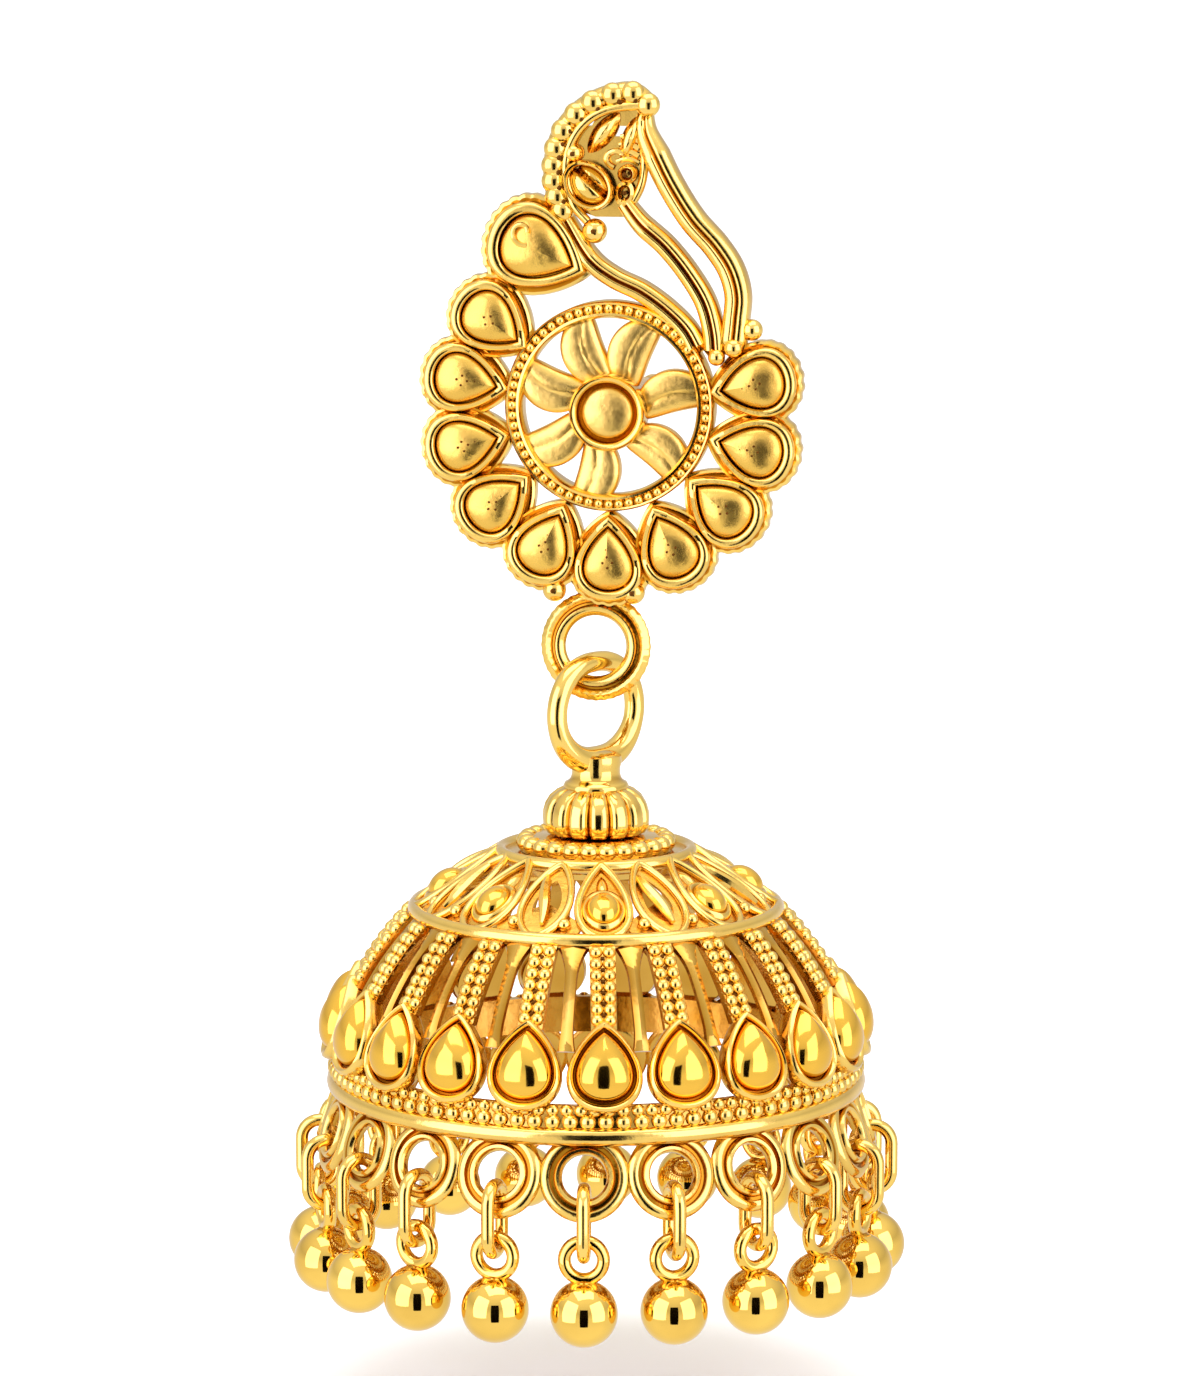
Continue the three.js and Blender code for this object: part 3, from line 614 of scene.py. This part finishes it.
crest_edge = flowing(CREST_ROWS, 56)
plate = slotted_plate(crest_edge[:, [1, 0]], crest_edge[:, [2, 0]], 34, CREST_SLOTS, 0.0, 0.66, 0.30)
edge_beads = beads_at(raised(CREST_BEADS, 0.84), (0, 0, 1), CREST_BEAD_RADIUS,
                      around=20, levels=12, squash=0.80)
edge_band = crest_wire(CREST_BEADS, 70, 0.66, 0.40, 12)
inner_wire = crest_wire(INNER_LINE, 80, 0.98, 0.17, shade=0.3)
right_edge = crest_wire(RIGHT_LINE, 50, 0.74, 0.16)
feather = [crest_wire([[0.22 + 0.05 * n, 9.12 + 0.30 * n], [0.66, 9.22 + 0.28 * n], [1.06, 9.06 + 0.27 * n]],
                      14, 0.70, 0.115, 8, size=np.linspace(0.7, 1.1, 14)) for n in range(4)]
oval = 0.5 * round_outline
bean_rim = turned([(0.78, 0.5, 0.9), (0.78, 1.20, 0.3), (0.84, 1.34, 0), (0.91, 1.36, 0), (0.98, 1.28, 0.1),
                   (1.0, 1.0, 0.4), (1.0, 0.5, 0.6)], oval * BEAN_SIZE, closed=True)
bean_points, bean_quads, bean_painted_shade = turned(domed(0.78, 0.82, 0.40, 0.6, 0.4), oval * BEAN_SIZE)
# The furrow is pressed in, and shade is painted deep in it.
furrow = np.exp(-((bean_points[:, 1] - 0.16) / 0.10) ** 2) * (bean_points[:, 2] > 0.65)
bean_points[:, 2] -= 0.28 * furrow
bean = (bean_points, bean_quads, np.clip(bean_painted_shade + 0.9 * furrow, 0, 1))
crest_ring = turned([(0.14, 0.6, 0.9), (0.14, 1.05, 0.3), (0.24, 1.20, 0), (0.34, 1.10, 0.1),
                     (0.36, 0.6, 0.4)], round_outline, closed=True)
long_ring = (crest_ring[0] * [1.0, 1.35, 0.88], *crest_ring[1:])
curl_turn = np.linspace(0.6, 4.4, 30)
lower_curl = np.stack([0.34 + np.linspace(0.10, 0.62, 30) * np.cos(curl_turn),
                       9.30 + np.linspace(0.10, 0.42, 30) * np.sin(curl_turn)], -1)
crest = together(plate, edge_band, edge_beads, inner_wire, right_edge, *feather,
                 laid(together(bean_rim, bean), (-0.76, 8.26, 0), -42),
                 beads_at([[-1.33, 9.42, 0.90]], (0, 0, 1), 0.34, around=20, levels=12),
                 laid(crest_ring, (0.66, 8.68, 0)), laid(long_ring, (0.55, 7.98, 0), -15),
                 wire_on(raised(lower_curl, 0.82), 0.11, 8),
                 laid(blade(1.85, 0.78, 0.72, 1.16), (-0.24, 10.16, 0), 52),
                 laid(blade(1.70, 0.62, 0.70, 1.02), (0.72, 9.96, 0), 70))
piece("crest", on_stud(crest), stud_gold, "stud")
# The pits are drawn as dark dots of painted shade.
crest_pit_shade = beads_at(CREST_PITS, (0, 0, 1), 0.095, around=8, levels=5, squash=0.5)
piece("crest_pit_shade", on_stud(crest_pit_shade), pit_shade_paint, "stud")

# The three bars: drawn double-ridged strip, bent to curves and soldered between the ring's right side
# and the crest, with small balls where they end and where the flower meets the drop's ring.
BAR_TOP = 1.25
INNER_BAR = [(33.3, 0.55), (46.4, 0.575), (60.6, 0.597), (75, 0.633), (88, 0.678), (97, 0.77), (103.8, 1.02)]
MIDDLE_BAR = [(28, 0.61), (37.5, 0.667), (48.4, 0.739), (60, 0.807), (71.3, 0.889), (80.6, 0.967), (86, 1.06)]
OUTER_BAR = [(25, 0.69), (36.3, 0.8), (42.5, 0.885), (49.5, 0.951), (57.3, 1.0), (66.5, 1.06), (74.5, 1.18),
             (79.5, 1.31), (82.8, 1.43), (83.6, 1.54)]
STUD_BALLS = np.array([[-0.55, 6.60, 0.86, 0.46], [5.25, 3.05, 0.86, 0.40], [4.60, 2.40, 1.08, 0.36],
                       [3.98, 2.06, 1.08, 0.32], [-2.06, -6.63, 0.86, 0.44], [0.88, -6.67, 0.86, 0.44]])
PITTED_BALLS = [0, 4, 5]


def ridged_section(width, top):
    """Two flat ridges side by side: the top falls by a narrow bell curve at the middle groove, and by
    the fourth power of the distance from the middle at both sides."""
    across = np.linspace(-1, 1, 21)
    groove = np.exp(-(across / 0.13) ** 2)
    # The groove and the foot get painted shade.
    crown = np.stack([across * width / 2, top - 0.17 * groove - 0.20 * across ** 4, 0.95 * groove], -1)
    foot = np.array([[width / 2, 0.2, 0.6], [-width / 2, 0.2, 0.6]])
    return np.concatenate([crown, foot])


def bar(stations, width, end):
    """A bar through its stations, which are angles and shares of the flower's radius. Over its last
    fifth it shrinks to the share given for its end."""
    angle, reach = np.array(stations).T * [[np.pi / 180], [FLOWER_RADIUS]]
    line = raised(flowing(np.stack([reach * np.cos(angle), reach * np.sin(angle)], -1), 72), 0.0)
    size = np.interp(np.arange(72), [0, 3, 57, 71], [0.7, 1.0, 1.0, end])
    return swept(line, beside(line, (0, 0, 1)), (0, 0, 1), ridged_section(width, BAR_TOP), size=size)


bars = [bar(INNER_BAR, 0.74, 0.8), bar(MIDDLE_BAR, 0.74, 0.8), bar(OUTER_BAR, 0.92, 0.55)]
balls = [beads_at([place], (0, 0, 1), radius, around=24, levels=16) for *place, radius in STUD_BALLS]
piece("bars", on_stud(together(*bars, *balls)), stud_gold, "stud")
# Dark dots of painted shade stand for a pit at the front of three of the balls.
pitted = STUD_BALLS[PITTED_BALLS]
ball_pit_shade = beads_at(pitted[:, :3] + pitted[:, 3:] * [0, 0, 0.97], (0, 0, 1), 0.10,
                     around=8, levels=5, squash=0.4)
piece("ball_pit_shade", on_stud(ball_pit_shade), pit_shade_paint, "stud")

# The stud's ring: a flat cast ring with a raised smooth lip round its hole and a faintly waved flange
# outside that, soldered under the lowest cup. The drop hangs in its hole.
STUD_RING_PLACE = (-0.55, -8.72, 0.6)
FLANGE_WAVES = 40
# The profile's third values paint shade in the groove between lip and flange and on the underside.
ring_points, ring_quads, ring_painted_shade = turned(
    [(1.13, 0.00, 0.6), (1.17, 0.08, 0.1), (1.26, 0.17, 0), (1.38, 0.24, 0), (1.48, 0.22, 0.1),
     (1.55, 0.06, 1), (1.62, 0.04, 1), (1.70, 0.14, 0.2), (1.82, 0.19, 0), (1.96, 0.12, 0), (2.05, 0.0, 0.1),
     (1.96, -0.12, 0.4), (1.76, -0.26, 0.5), (1.44, -0.26, 0.5), (1.24, -0.13, 0.7), (1.16, -0.06, 0.8)],
    round_outline, closed=True)
x, y = ring_points[:, :2].T
wave = 1 + 0.006 * np.cos(FLANGE_WAVES * np.arctan2(y, x)) * (np.hypot(x, y) > 1.65)
ring_points[:, :2] *= wave[:, None]
drop_ring = laid((ring_points, ring_quads, ring_painted_shade), STUD_RING_PLACE)
piece("drop_ring", on_stud(drop_ring), stud_gold, "stud")

# The ear post: a drawn pin soldered to the stud's back on a small round pad, with a notch near its
# rounded end that a clutch grips.
# The profile's third values paint shade under the pad, at its neck and in the notch.
post_points, post_quads, post_painted_shade = turned(
    [(0, 0.0, 1), (1.15, 0.0, 0.8), (1.15, 0.34, 0.1), (1.08, 0.44, 0), (0.62, 0.45, 0.5), (0.52, 0.52, 0.7),
     (0.45, 0.66, 0.1), (0.45, 8.30, 0), (0.38, 8.42, 0.8), (0.38, 8.78, 0.8), (0.45, 8.90, 0),
     (0.45, 9.90, 0), (0.40, 10.20, 0), (0.27, 10.42, 0), (0, 10.5, 0)], round_outline[::4])
post_gold = gold_paint("post_gold", (0.98, 0.67, 0.17, 1), SHADE_GOLD, 0.24, 5200.0, 0.30)
piece("pin_post", (post_points[:, [0, 2, 1]], post_quads, post_painted_shade), post_gold, "stud",
      ["ear_post"])

# The finial: a bail loop of round wire, thicker where it runs into its flared neck, over a fluted
# melon bead. Cast in one, it is riveted through the crown by the pin below it.
HUNG_AT = np.array([-0.55, -0.60, -25.31])
CROWN_HEIGHT = 8.95
COLLAR_HEIGHT = 0.62
MELON_FOOT = CROWN_HEIGHT + COLLAR_HEIGHT
BAIL_WIRE = 0.38
BAIL_REACH = 1.84
BAIL_DRAWN = 0.18
BAIL_MIDDLE = MELON_FOOT + 4.59
BAIL_TURN = np.radians(54)
FLUTES = 14
FLUTE_DEPTH = 0.15


def hung(shape):
    """From the dome's own axis and foot to the room's, where it hangs under the stud."""
    return shape[0] + HUNG_AT, shape[1], shape[2]


loop_turn = np.linspace(0, 2 * np.pi, 96, endpoint=False)
loop_across = BAIL_REACH * np.cos(loop_turn) + BAIL_DRAWN * np.tanh(6 * np.cos(loop_turn))
loop = np.stack([loop_across * np.cos(BAIL_TURN), loop_across * np.sin(BAIL_TURN),
                 BAIL_MIDDLE + BAIL_REACH * np.sin(loop_turn)], -1)
loop_side = (np.sin(BAIL_TURN), -np.cos(BAIL_TURN), 0)
loop_size = 1 + 0.55 * np.clip(-np.sin(loop_turn) - 0.25, 0, 1) ** 1.5
bail = wire_on(loop, BAIL_WIRE, 20, True, loop_size, 0, loop_side)
melon_points, melon_quads, melon_painted_shade = turned(
    [(0, 0.0, 1), (1.66, 0.0, 1), (1.84, 0.08, 0.5), (1.97, 0.30, 0.1), (2.0, 0.58, 0), (1.98, 0.86, 0),
     (1.90, 1.14, 0), (1.73, 1.42, 0), (1.46, 1.64, 0), (1.18, 1.77, 0.3), (0, 1.80, 1)], circle(FLUTES * 16))
# The flutes are pressed in, and shade is painted deep in them.
furrow = 1 - np.abs(np.cos(FLUTES / 2 * np.arctan2(melon_points[:, 1], melon_points[:, 0])))
melon_points[:, :2] *= (1 - FLUTE_DEPTH * furrow ** 2.2)[:, None]
melon = (melon_points, melon_quads, np.clip(melon_painted_shade + 0.8 * furrow ** 5, 0, 1))
neck = turned([(0, 1.5, 1), (1.18, 1.60, 0.6), (1.22, 1.80, 0.1), (1.15, 1.93, 0), (1.02, 2.00, 0.3),
               (0.94, 2.10, 0.4), (0.90, 2.26, 0.1), (0.90, 2.46, 0), (0.96, 2.70, 0), (0.94, 2.92, 0),
               (0.74, 3.07, 0.1), (0.36, 3.13, 0.2), (0, 3.14, 0.2)], round_outline[::2])
pin = turned([(0, -1.72, 0), (0.62, -1.70, 0), (0.92, -1.58, 0), (1.05, -1.40, 0.2), (1.02, -1.32, 0.6),
              (0.70, -1.32, 1), (0.70, 0.4, 1), (0, 0.4, 1)], round_outline[::4])
wire_gold = gold_paint("wire_gold", (1.0, 0.70, 0.165, 1), SHADE_GOLD, 0.10, 1800.0, 0.12)
piece("bail", hung(together(bail, laid(together(melon, neck, pin), (0, 0, MELON_FOOT)))), wire_gold,
      "jhumka", ["bail_finial"])

# The collar: a ring of 25 round beads run together on a washer, which sits between melon and crown.
COLLAR_BEADS = 25
COLLAR_RADIUS = 2.60
collar_beads = beads_at(ring_places(COLLAR_BEADS, COLLAR_RADIUS, CROWN_HEIGHT + 0.33), (0, 0, 1), 0.385,
                        around=20, levels=12, squash=0.9)
washer = turned([(0.80, 0.02, 0.6), (2.80, 0.02, 0.6), (2.84, 0.20, 0.5), (2.50, 0.46, 0.4),
                 (2.20, 0.57, 0), (0.80, 0.60, 0.2)], round_outline, closed=True)
dome_gold = gold_paint("dome_gold", BRIGHT_GOLD, SHADE_GOLD, 0.14, 2600.0, 0.20)
piece("collar", hung(together(collar_beads, laid(washer, (0, 0, CROWN_HEIGHT)))), dome_gold,
      "jhumka", ["beaded_collar"])

# The dome's rings: a bell closed by a crown plate with a wire edge, a plain wire ring half way down,
# and at the foot a band with two rows of fine beads over a heavier rim wire. All is brass, soldered.
RIM_RADIUS = 9.9
SHOULDER = 0.5
APEX = 9.8
FULLNESS = 1.8
MIDDLE_HEIGHT = 6.8
BAND_ROWS = [(96, 9.80, 0.86, 0.30), (120, 9.73, 1.26, 0.25)]


def bell(height):
    """The bell's radius: upright at the shoulder, then one less the 1.8 power of the share of the way
    to the apex, to the power of one over 1.8."""
    share = np.clip((np.asarray(height, float) - SHOULDER) / (APEX - SHOULDER), 0, None)
    return RIM_RADIUS * (1 - share ** FULLNESS) ** (1 / FULLNESS)


def slope(height):
    """How far the bell leans in from upright, as an angle."""
    return np.arctan2(bell(np.asarray(height) - 0.05) - bell(np.asarray(height) + 0.05), 0.1)


def hoop(radius, height, wire, tall=1.0):
    """A round wire bent to a circle about the dome's axis, with painted shade on its underside."""
    across, up = circle(14).T
    rows = np.stack([radius + wire * across, height + tall * wire * up, np.clip(-up - 0.3, 0, 1)], -1)
    return turned(rows, circle(240), closed=True)


def band_row(count, radius, height, size):
    """A row of flattened beads round the band, each facing out from the axis."""
    places = ring_places(count, radius, height)
    return beads_at(places, places * [1, 1, 0] / radius, size, around=10, levels=6, squash=0.8)


crown_radius, middle_radius = float(bell(CROWN_HEIGHT)), float(bell(MIDDLE_HEIGHT))
crown = turned([(0.80, 8.36, 0.4), (3.20, 8.36, 0.4), (3.42, 8.60, 0.4), (3.40, 8.92, 0.1),
                (3.20, 8.95, 0.1), (0.80, 8.95, 0.4)], round_outline, closed=True)
band = turned([(9.32, 0.0, 0.7), (9.80, 0.0, 0.3), (9.78, 0.5, 0.6), (9.74, 1.34, 0.6), (9.66, 1.42, 0.3),
               (9.32, 1.40, 0.7)], circle(240), closed=True)
hoops = [hoop(crown_radius - 0.02, CROWN_HEIGHT - 0.03, 0.25),
         hoop(middle_radius, MIDDLE_HEIGHT, 0.25, 1.12), hoop(9.78, 0.31, 0.29, 1.15)]
piece("dome_rings", hung(together(crown, band, *[band_row(*row) for row in BAND_ROWS], *hoops)), dome_gold,
      "jhumka", ["dome"])

# The ribs: 21 narrow strips up the bell, from each pear's tip to the middle ring, with two columns
# of small beads on each and a pit between every four beads, drawn as a dark dot of painted shade.
RIB_COUNT = 21
FIRST_RIB = -79
BEAD_ROWS = 7
BEAD_COLUMN = 0.235
PEAR_HEIGHT = 2.78
PEAR_LENGTH = 3.3
PEAR_WIDTH = 2.72
rib_foot = PEAR_HEIGHT + PEAR_LENGTH / 2 * np.cos(slope(PEAR_HEIGHT)) - 0.35
rib_turns = np.radians(FIRST_RIB + 360 / RIB_COUNT * np.arange(RIB_COUNT))


def about_axis(shape, turns):
    """Copies of a shape turned about the dome's axis."""
    right = np.stack([np.cos(turns), np.sin(turns), 0 * turns], -1)
    up = np.stack([-np.sin(turns), np.cos(turns), 0 * turns], -1)
    return moved(shape, right, up, (0, 0, 1), (0, 0, 0))


def on_bell(height, across, proud):
    """Places on the bell at some heights, moved across and out of it, and the way out there."""
    lean = slope(height)
    out = np.stack([np.cos(lean), 0 * lean, np.sin(lean)], -1)
    place = np.stack([bell(height), 0 * lean, height], -1)
    return place + across * np.array([0.0, 1.0, 0.0]) + proud * out, out


strip_line, strip_out = on_bell(np.linspace(rib_foot, MIDDLE_HEIGHT, 14), 0, 0)
# The strip under the beads carries painted shade.
strip = swept(strip_line, (0, 1, 0), strip_out,
              [(-0.46, -0.24, 0.7), (0.46, -0.24, 0.7), (0.46, 0.04, 0.4), (-0.46, 0.04, 0.4)])
bead_heights = np.linspace(rib_foot + 0.32, MIDDLE_HEIGHT - 0.36, BEAD_ROWS)
rib_beads = [beads_at(*on_bell(bead_heights, column, 0.03), 0.25, around=12, levels=8)
             for column in (-BEAD_COLUMN, BEAD_COLUMN)]
piece("ribs", hung(about_axis(together(strip, *rib_beads), rib_turns)), dome_gold, "jhumka")
rib_pit_shade = beads_at(*on_bell((bead_heights[1:] + bead_heights[:-1]) / 2, 0, 0.06), 0.085,
                    around=8, levels=4, squash=0.5)
piece("rib_pit_shade", hung(about_axis(rib_pit_shade, rib_turns)), pit_shade_paint, "jhumka")

# The struts: a plain strip half way between each two ribs, soldered to the middle ring and the pears
# a little inside the bell, and broader where it meets them.
strut_heights = np.linspace(3.30, MIDDLE_HEIGHT - 0.1, 18)
strut_line, strut_out = on_bell(strut_heights, 0, -0.12)
spread = (1 + 1.9 * np.clip((strut_heights - 5.7) / 1.1, 0, 1) ** 2
          + 0.5 * np.clip((4.1 - strut_heights) / 0.8, 0, 1) ** 2)
# The strut's section carries heavy painted shade.
strut = swept(strut_line, spread[:, None] * [0, 1, 0], strut_out,
              [(-0.23, -0.10, 0.9), (0.23, -0.10, 0.9), (0.20, 0.04, 0.8), (0.0, 0.14, 0.5),
               (-0.20, 0.04, 0.8)])
piece("struts", hung(about_axis(strut, rib_turns + np.pi / RIB_COUNT)), dome_gold, "jhumka")

# The dome's pears: 21 cups round the band, tips up, each a plain bezel with a pointed wire edge that
# holds a polished amber-gold dome. They are soldered to the band and to the ribs' feet.
PEAR_SIDES = 64


def faced(shape, radius, height, lean, turns):
    """Copies of a flat ornament round the dome, its own x up the wall and its own z out of it."""
    cos, sin = np.cos(turns), np.sin(turns)
    up = np.stack([-np.sin(lean) * cos, -np.sin(lean) * sin, np.cos(lean) + 0 * turns], -1)
    across = np.stack([sin, -cos, 0 * turns], -1)
    out = np.stack([np.cos(lean) * cos, np.cos(lean) * sin, np.sin(lean) + 0 * turns], -1)
    place = np.stack([radius * cos, radius * sin, height + 0 * turns], -1)
    return moved(shape, up, across, out, place)


pear_outline = teardrop(PEAR_LENGTH, PEAR_WIDTH, PEAR_SIDES, fullness=0.72)
pear_cup = together(
    turned([(0, -0.42, 0.7), (0.90, -0.42, 0.6), (0.96, -0.25, 0.5), (0.96, -0.06, 0.5), (0.90, 0.0, 1),
            (0, 0.0, 1)], pear_outline),
    turned([(0.815, -0.1, 1), (1.0, -0.1, 0.4), (1.0, 0.16, 0.1), (0.975, 0.28, 0), (0.92, 0.34, 0),
            (0.86, 0.30, 0), (0.82, 0.16, 0.6)], pear_outline, closed=True))
# Shade is painted over the whole dome, from about a third at its middle to full at its edge.
pear_dome = turned(domed(0.78, 0.02, 0.84, -0.1, 0.65, 8, 0.35), pear_outline)
pear_place = (float(bell(PEAR_HEIGHT)), PEAR_HEIGHT, float(slope(PEAR_HEIGHT)))
piece("pear_cups", hung(faced(pear_cup, *pear_place, rib_turns)), dome_gold, "jhumka")
amber_gold = gold_paint("amber_gold", (0.98, 0.60, 0.085, 1), DEEP_GOLD, 0.10, 1500.0, 0.08)
piece("pear_domes", hung(faced(pear_dome, *pear_place, rib_turns)), amber_gold, "jhumka")

# The upper tier: 16 frames of wire between the crown and the middle ring, touching side by side, each
# with a thin duller back behind its rim. Every other one is a pear round a raised boss, and the ones
# between are leaves with a ball at both sides of their foot.
FRAME_COUNT = 16
FIRST_FRAME = -78
FRAME_WIDTH = 1.96
BOSS_PLACE = (-0.42, 0, 0)
frame_across = middle_radius - crown_radius
frame_rise = CROWN_HEIGHT - MIDDLE_HEIGHT
frame_length = float(np.hypot(frame_across, frame_rise)) + 0.10
frame_place = ((middle_radius + crown_radius) / 2, (MIDDLE_HEIGHT + CROWN_HEIGHT) / 2,
               float(np.arctan2(frame_across, frame_rise)))
frame_turns = np.radians(FIRST_FRAME + 360 / FRAME_COUNT * np.arange(FRAME_COUNT))


def backed(outline, share, low, high, hole):
    """A thin plate inside an outline, with a hole of the outline's own form in it."""
    rows = [(hole, low, 0.2), (share, low, 0.2), (share, high, 0.4), (hole, high, 0.5)]
    return turned(rows, outline, closed=True)


pear_frame = teardrop(frame_length - 0.2, FRAME_WIDTH - 0.1, 56, fullness=0.8)
leaf_frame = leaf(frame_length - 0.2, FRAME_WIDTH - 0.24, 56)
leaf_frame[:, 1] *= 1 - 0.25 * leaf_frame[:, 0] / (frame_length / 2)
boss_oval = round_outline[::4] * [1.42, 1.16]
boss_cup = laid(turned([(0, -0.16, 0.4), (0.66, -0.16, 0.4), (0.72, 0.02, 0.4), (0.68, 0.16, 0.1),
                        (0.60, 0.22, 0), (0.53, 0.18, 0.4), (0.50, 0.10, 0.9), (0, 0.10, 1)], boss_oval),
                BOSS_PLACE)
boss_ball = laid(turned(domed(0.52, 0.1, 0.50, 0.0, 0.6), boss_oval), BOSS_PLACE)
bow = np.linspace(-1.4, 1.4, 24)
side_leaf = np.stack([0.88 * bow, 0.24 * np.sin(bow) + 0.10, 0.10 + 0.08 * np.cos(bow)], -1)
leaf_wire = wire_on(side_leaf, 0.12, 8, size=1.7 * np.cos(0.9 * bow) + 0.2)
tip_leaf = laid(blade(1.25, 0.44, 0.02, 0.20, 24), (0.72, 0, 0))
corner_balls = beads_at([[-1.12, 0.96, 0.02], [-1.12, -0.96, 0.02]], (0, 0, 1), 0.25, around=12, levels=8)
web = turned([(0.0, -0.16, 0.8), (1.0, -0.16, 0.8), (1.0, -0.08, 0.5), (0.0, -0.08, 0.5)],
             oval * [1.5, 3.2] - [1.2, 0])
pear_wire = wire_on(raised(pear_frame, 0.10), 0.15, 10, True, shade=0.4)
leaf_rim = wire_on(raised(leaf_frame, 0.08), 0.14, 10, True, shade=0.4)
pear_turns, leaf_turns = frame_turns[::2], frame_turns[1::2]
piece("frames", hung(together(
    faced(together(pear_wire, boss_cup, tip_leaf), *frame_place, pear_turns),
    faced(together(leaf_rim, leaf_wire, corner_balls), *frame_place, leaf_turns))),
    dome_gold, "jhumka")
# The backs and webs carry painted shade.
piece("frame_backs", hung(together(
    faced(backed(pear_frame, 0.98, -0.10, 0.0, 0.30), *frame_place, pear_turns),
    faced(together(backed(leaf_frame, 0.98, -0.10, 0.0, 0.58), web), *frame_place, leaf_turns))),
    stone_gold, "jhumka")
piece("frame_bosses", hung(faced(boss_ball, *frame_place, pear_turns)), amber_gold, "jhumka")

# The skirt: 20 flat eyelets soldered edge to edge under the rim, each with a raised lip round its
# hole and a thin flange outside it.
DROP_COUNT = 20
FIRST_DROP = -83.2
EYELET_RADIUS = 10.0
EYELET_HEIGHT = -1.1
EYELET_FLARE = np.radians(18)
EYELET_HOLE = 0.79
EYELET_RIM = 1.205
drop_turns = np.radians(FIRST_DROP + 360 / DROP_COUNT * np.arange(DROP_COUNT))
eyelet = turned([(EYELET_HOLE, -0.06, 0.6), (0.82, 0.10, 0.1), (0.90, 0.20, 0), (1.00, 0.21, 0),
                 (1.07, 0.14, 0.1), (1.11, -0.04, 1), (1.22, -0.05, 1), (1.27, 0.10, 0.1), (1.38, 0.12, 0),
                 (1.50, 0.06, 0), (1.60, -0.04, 0.2), (1.62, -0.12, 0.4), (1.50, -0.20, 0.6),
                 (1.20, -0.22, 0.7), (0.86, -0.20, 0.8)], round_outline[::3], closed=True)
eyelets = faced(eyelet, EYELET_RADIUS, EYELET_HEIGHT, EYELET_FLARE, drop_turns)
piece("eyelets", hung(eyelets), dome_gold, "jhumka")

# The jump rings: one oval of round wire through each eyelet, lying in a plane through the dome's axis.
JUMP_WIRE = 0.24
JUMP_REACH = 0.69
JUMP_DRAWN = 0.54
JUMP_LENGTH = 2 * (JUMP_REACH + JUMP_DRAWN + JUMP_WIRE)
HANG_RADIUS = EYELET_RADIUS + EYELET_RIM * np.sin(EYELET_FLARE)
JUMP_TOP = EYELET_HEIGHT - EYELET_HOLE * np.cos(EYELET_FLARE) + 0.16 + 2 * JUMP_WIRE
half_turn = np.linspace(0, np.pi, 22)
upper_half = np.stack([JUMP_REACH * np.cos(half_turn), 0 * half_turn,
                       JUMP_DRAWN + JUMP_REACH * np.sin(half_turn)], -1)
jump_line = np.concatenate([upper_half, upper_half * [-1.0, 1.0, -1.0]])
jump_line += [HANG_RADIUS, 0.0, JUMP_TOP - JUMP_LENGTH / 2]
jump_ring = wire_on(jump_line, JUMP_WIRE, 12, True, out=(0, 1, 0), shade=0)
names = [f"jump_ring_{number + 1:02d}" for number in range(DROP_COUNT)]
piece("jump_rings", hung(about_axis(jump_ring, drop_turns)), wire_gold, "jhumka", names)

# The drops: 20 hollow polished balls, each with a round eye soldered on top, which hangs from its
# jump ring and lies across it.
BALL_RADIUS = 1.215
EYE_REACH = 0.70
EYE_WIRE = 0.24
EYE_PLAY = 0.1
EYE_SUNK = 0.2
EYE_OUTER = EYE_REACH + EYE_WIRE
EYE_MIDDLE = JUMP_TOP - JUMP_LENGTH + 2 * JUMP_WIRE + EYE_PLAY + 2 * EYE_WIRE - EYE_OUTER
BALL_MIDDLE = EYE_MIDDLE + EYE_SUNK - EYE_OUTER - BALL_RADIUS
eye_across, eye_up = EYE_REACH * circle(36).T
eye_line = np.stack([HANG_RADIUS + 0 * eye_up, eye_across, EYE_MIDDLE + eye_up], -1)
drop_eye = wire_on(eye_line, EYE_WIRE, 12, True, out=(1, 0, 0), shade=0)
fall = np.linspace(-np.pi / 2, np.pi / 2, 25)
# Shade is painted on the ball's top round the eye, and on the solder.
ball_rows = np.stack([BALL_RADIUS * np.cos(fall), BALL_RADIUS * np.sin(fall),
                      4.8 * np.clip(np.sin(fall) - 0.93, 0, 1)], -1)
ball_rows[[0, -1], 0] = 0
solder = turned([(0, 0.95, 1), (0.42, 1.08, 0.9), (0.34, 1.18, 0.7), (0.22, 1.26, 0.8), (0, 1.28, 1)],
                round_outline[::8])
ball = laid(together(turned(ball_rows, round_outline[::4]), solder), (HANG_RADIUS, 0.0, BALL_MIDDLE))
ball_gold = gold_paint("ball_gold", (1.0, 0.675, 0.135, 1), SHADE_GOLD, 0.05, 1300.0, 0.04)
names = [f"ball_drop_{number + 1:02d}" for number in range(DROP_COUNT)]
drops = about_axis(together(drop_eye, ball), drop_turns)
piece("balls", hung(drops), ball_gold, "jhumka", names)
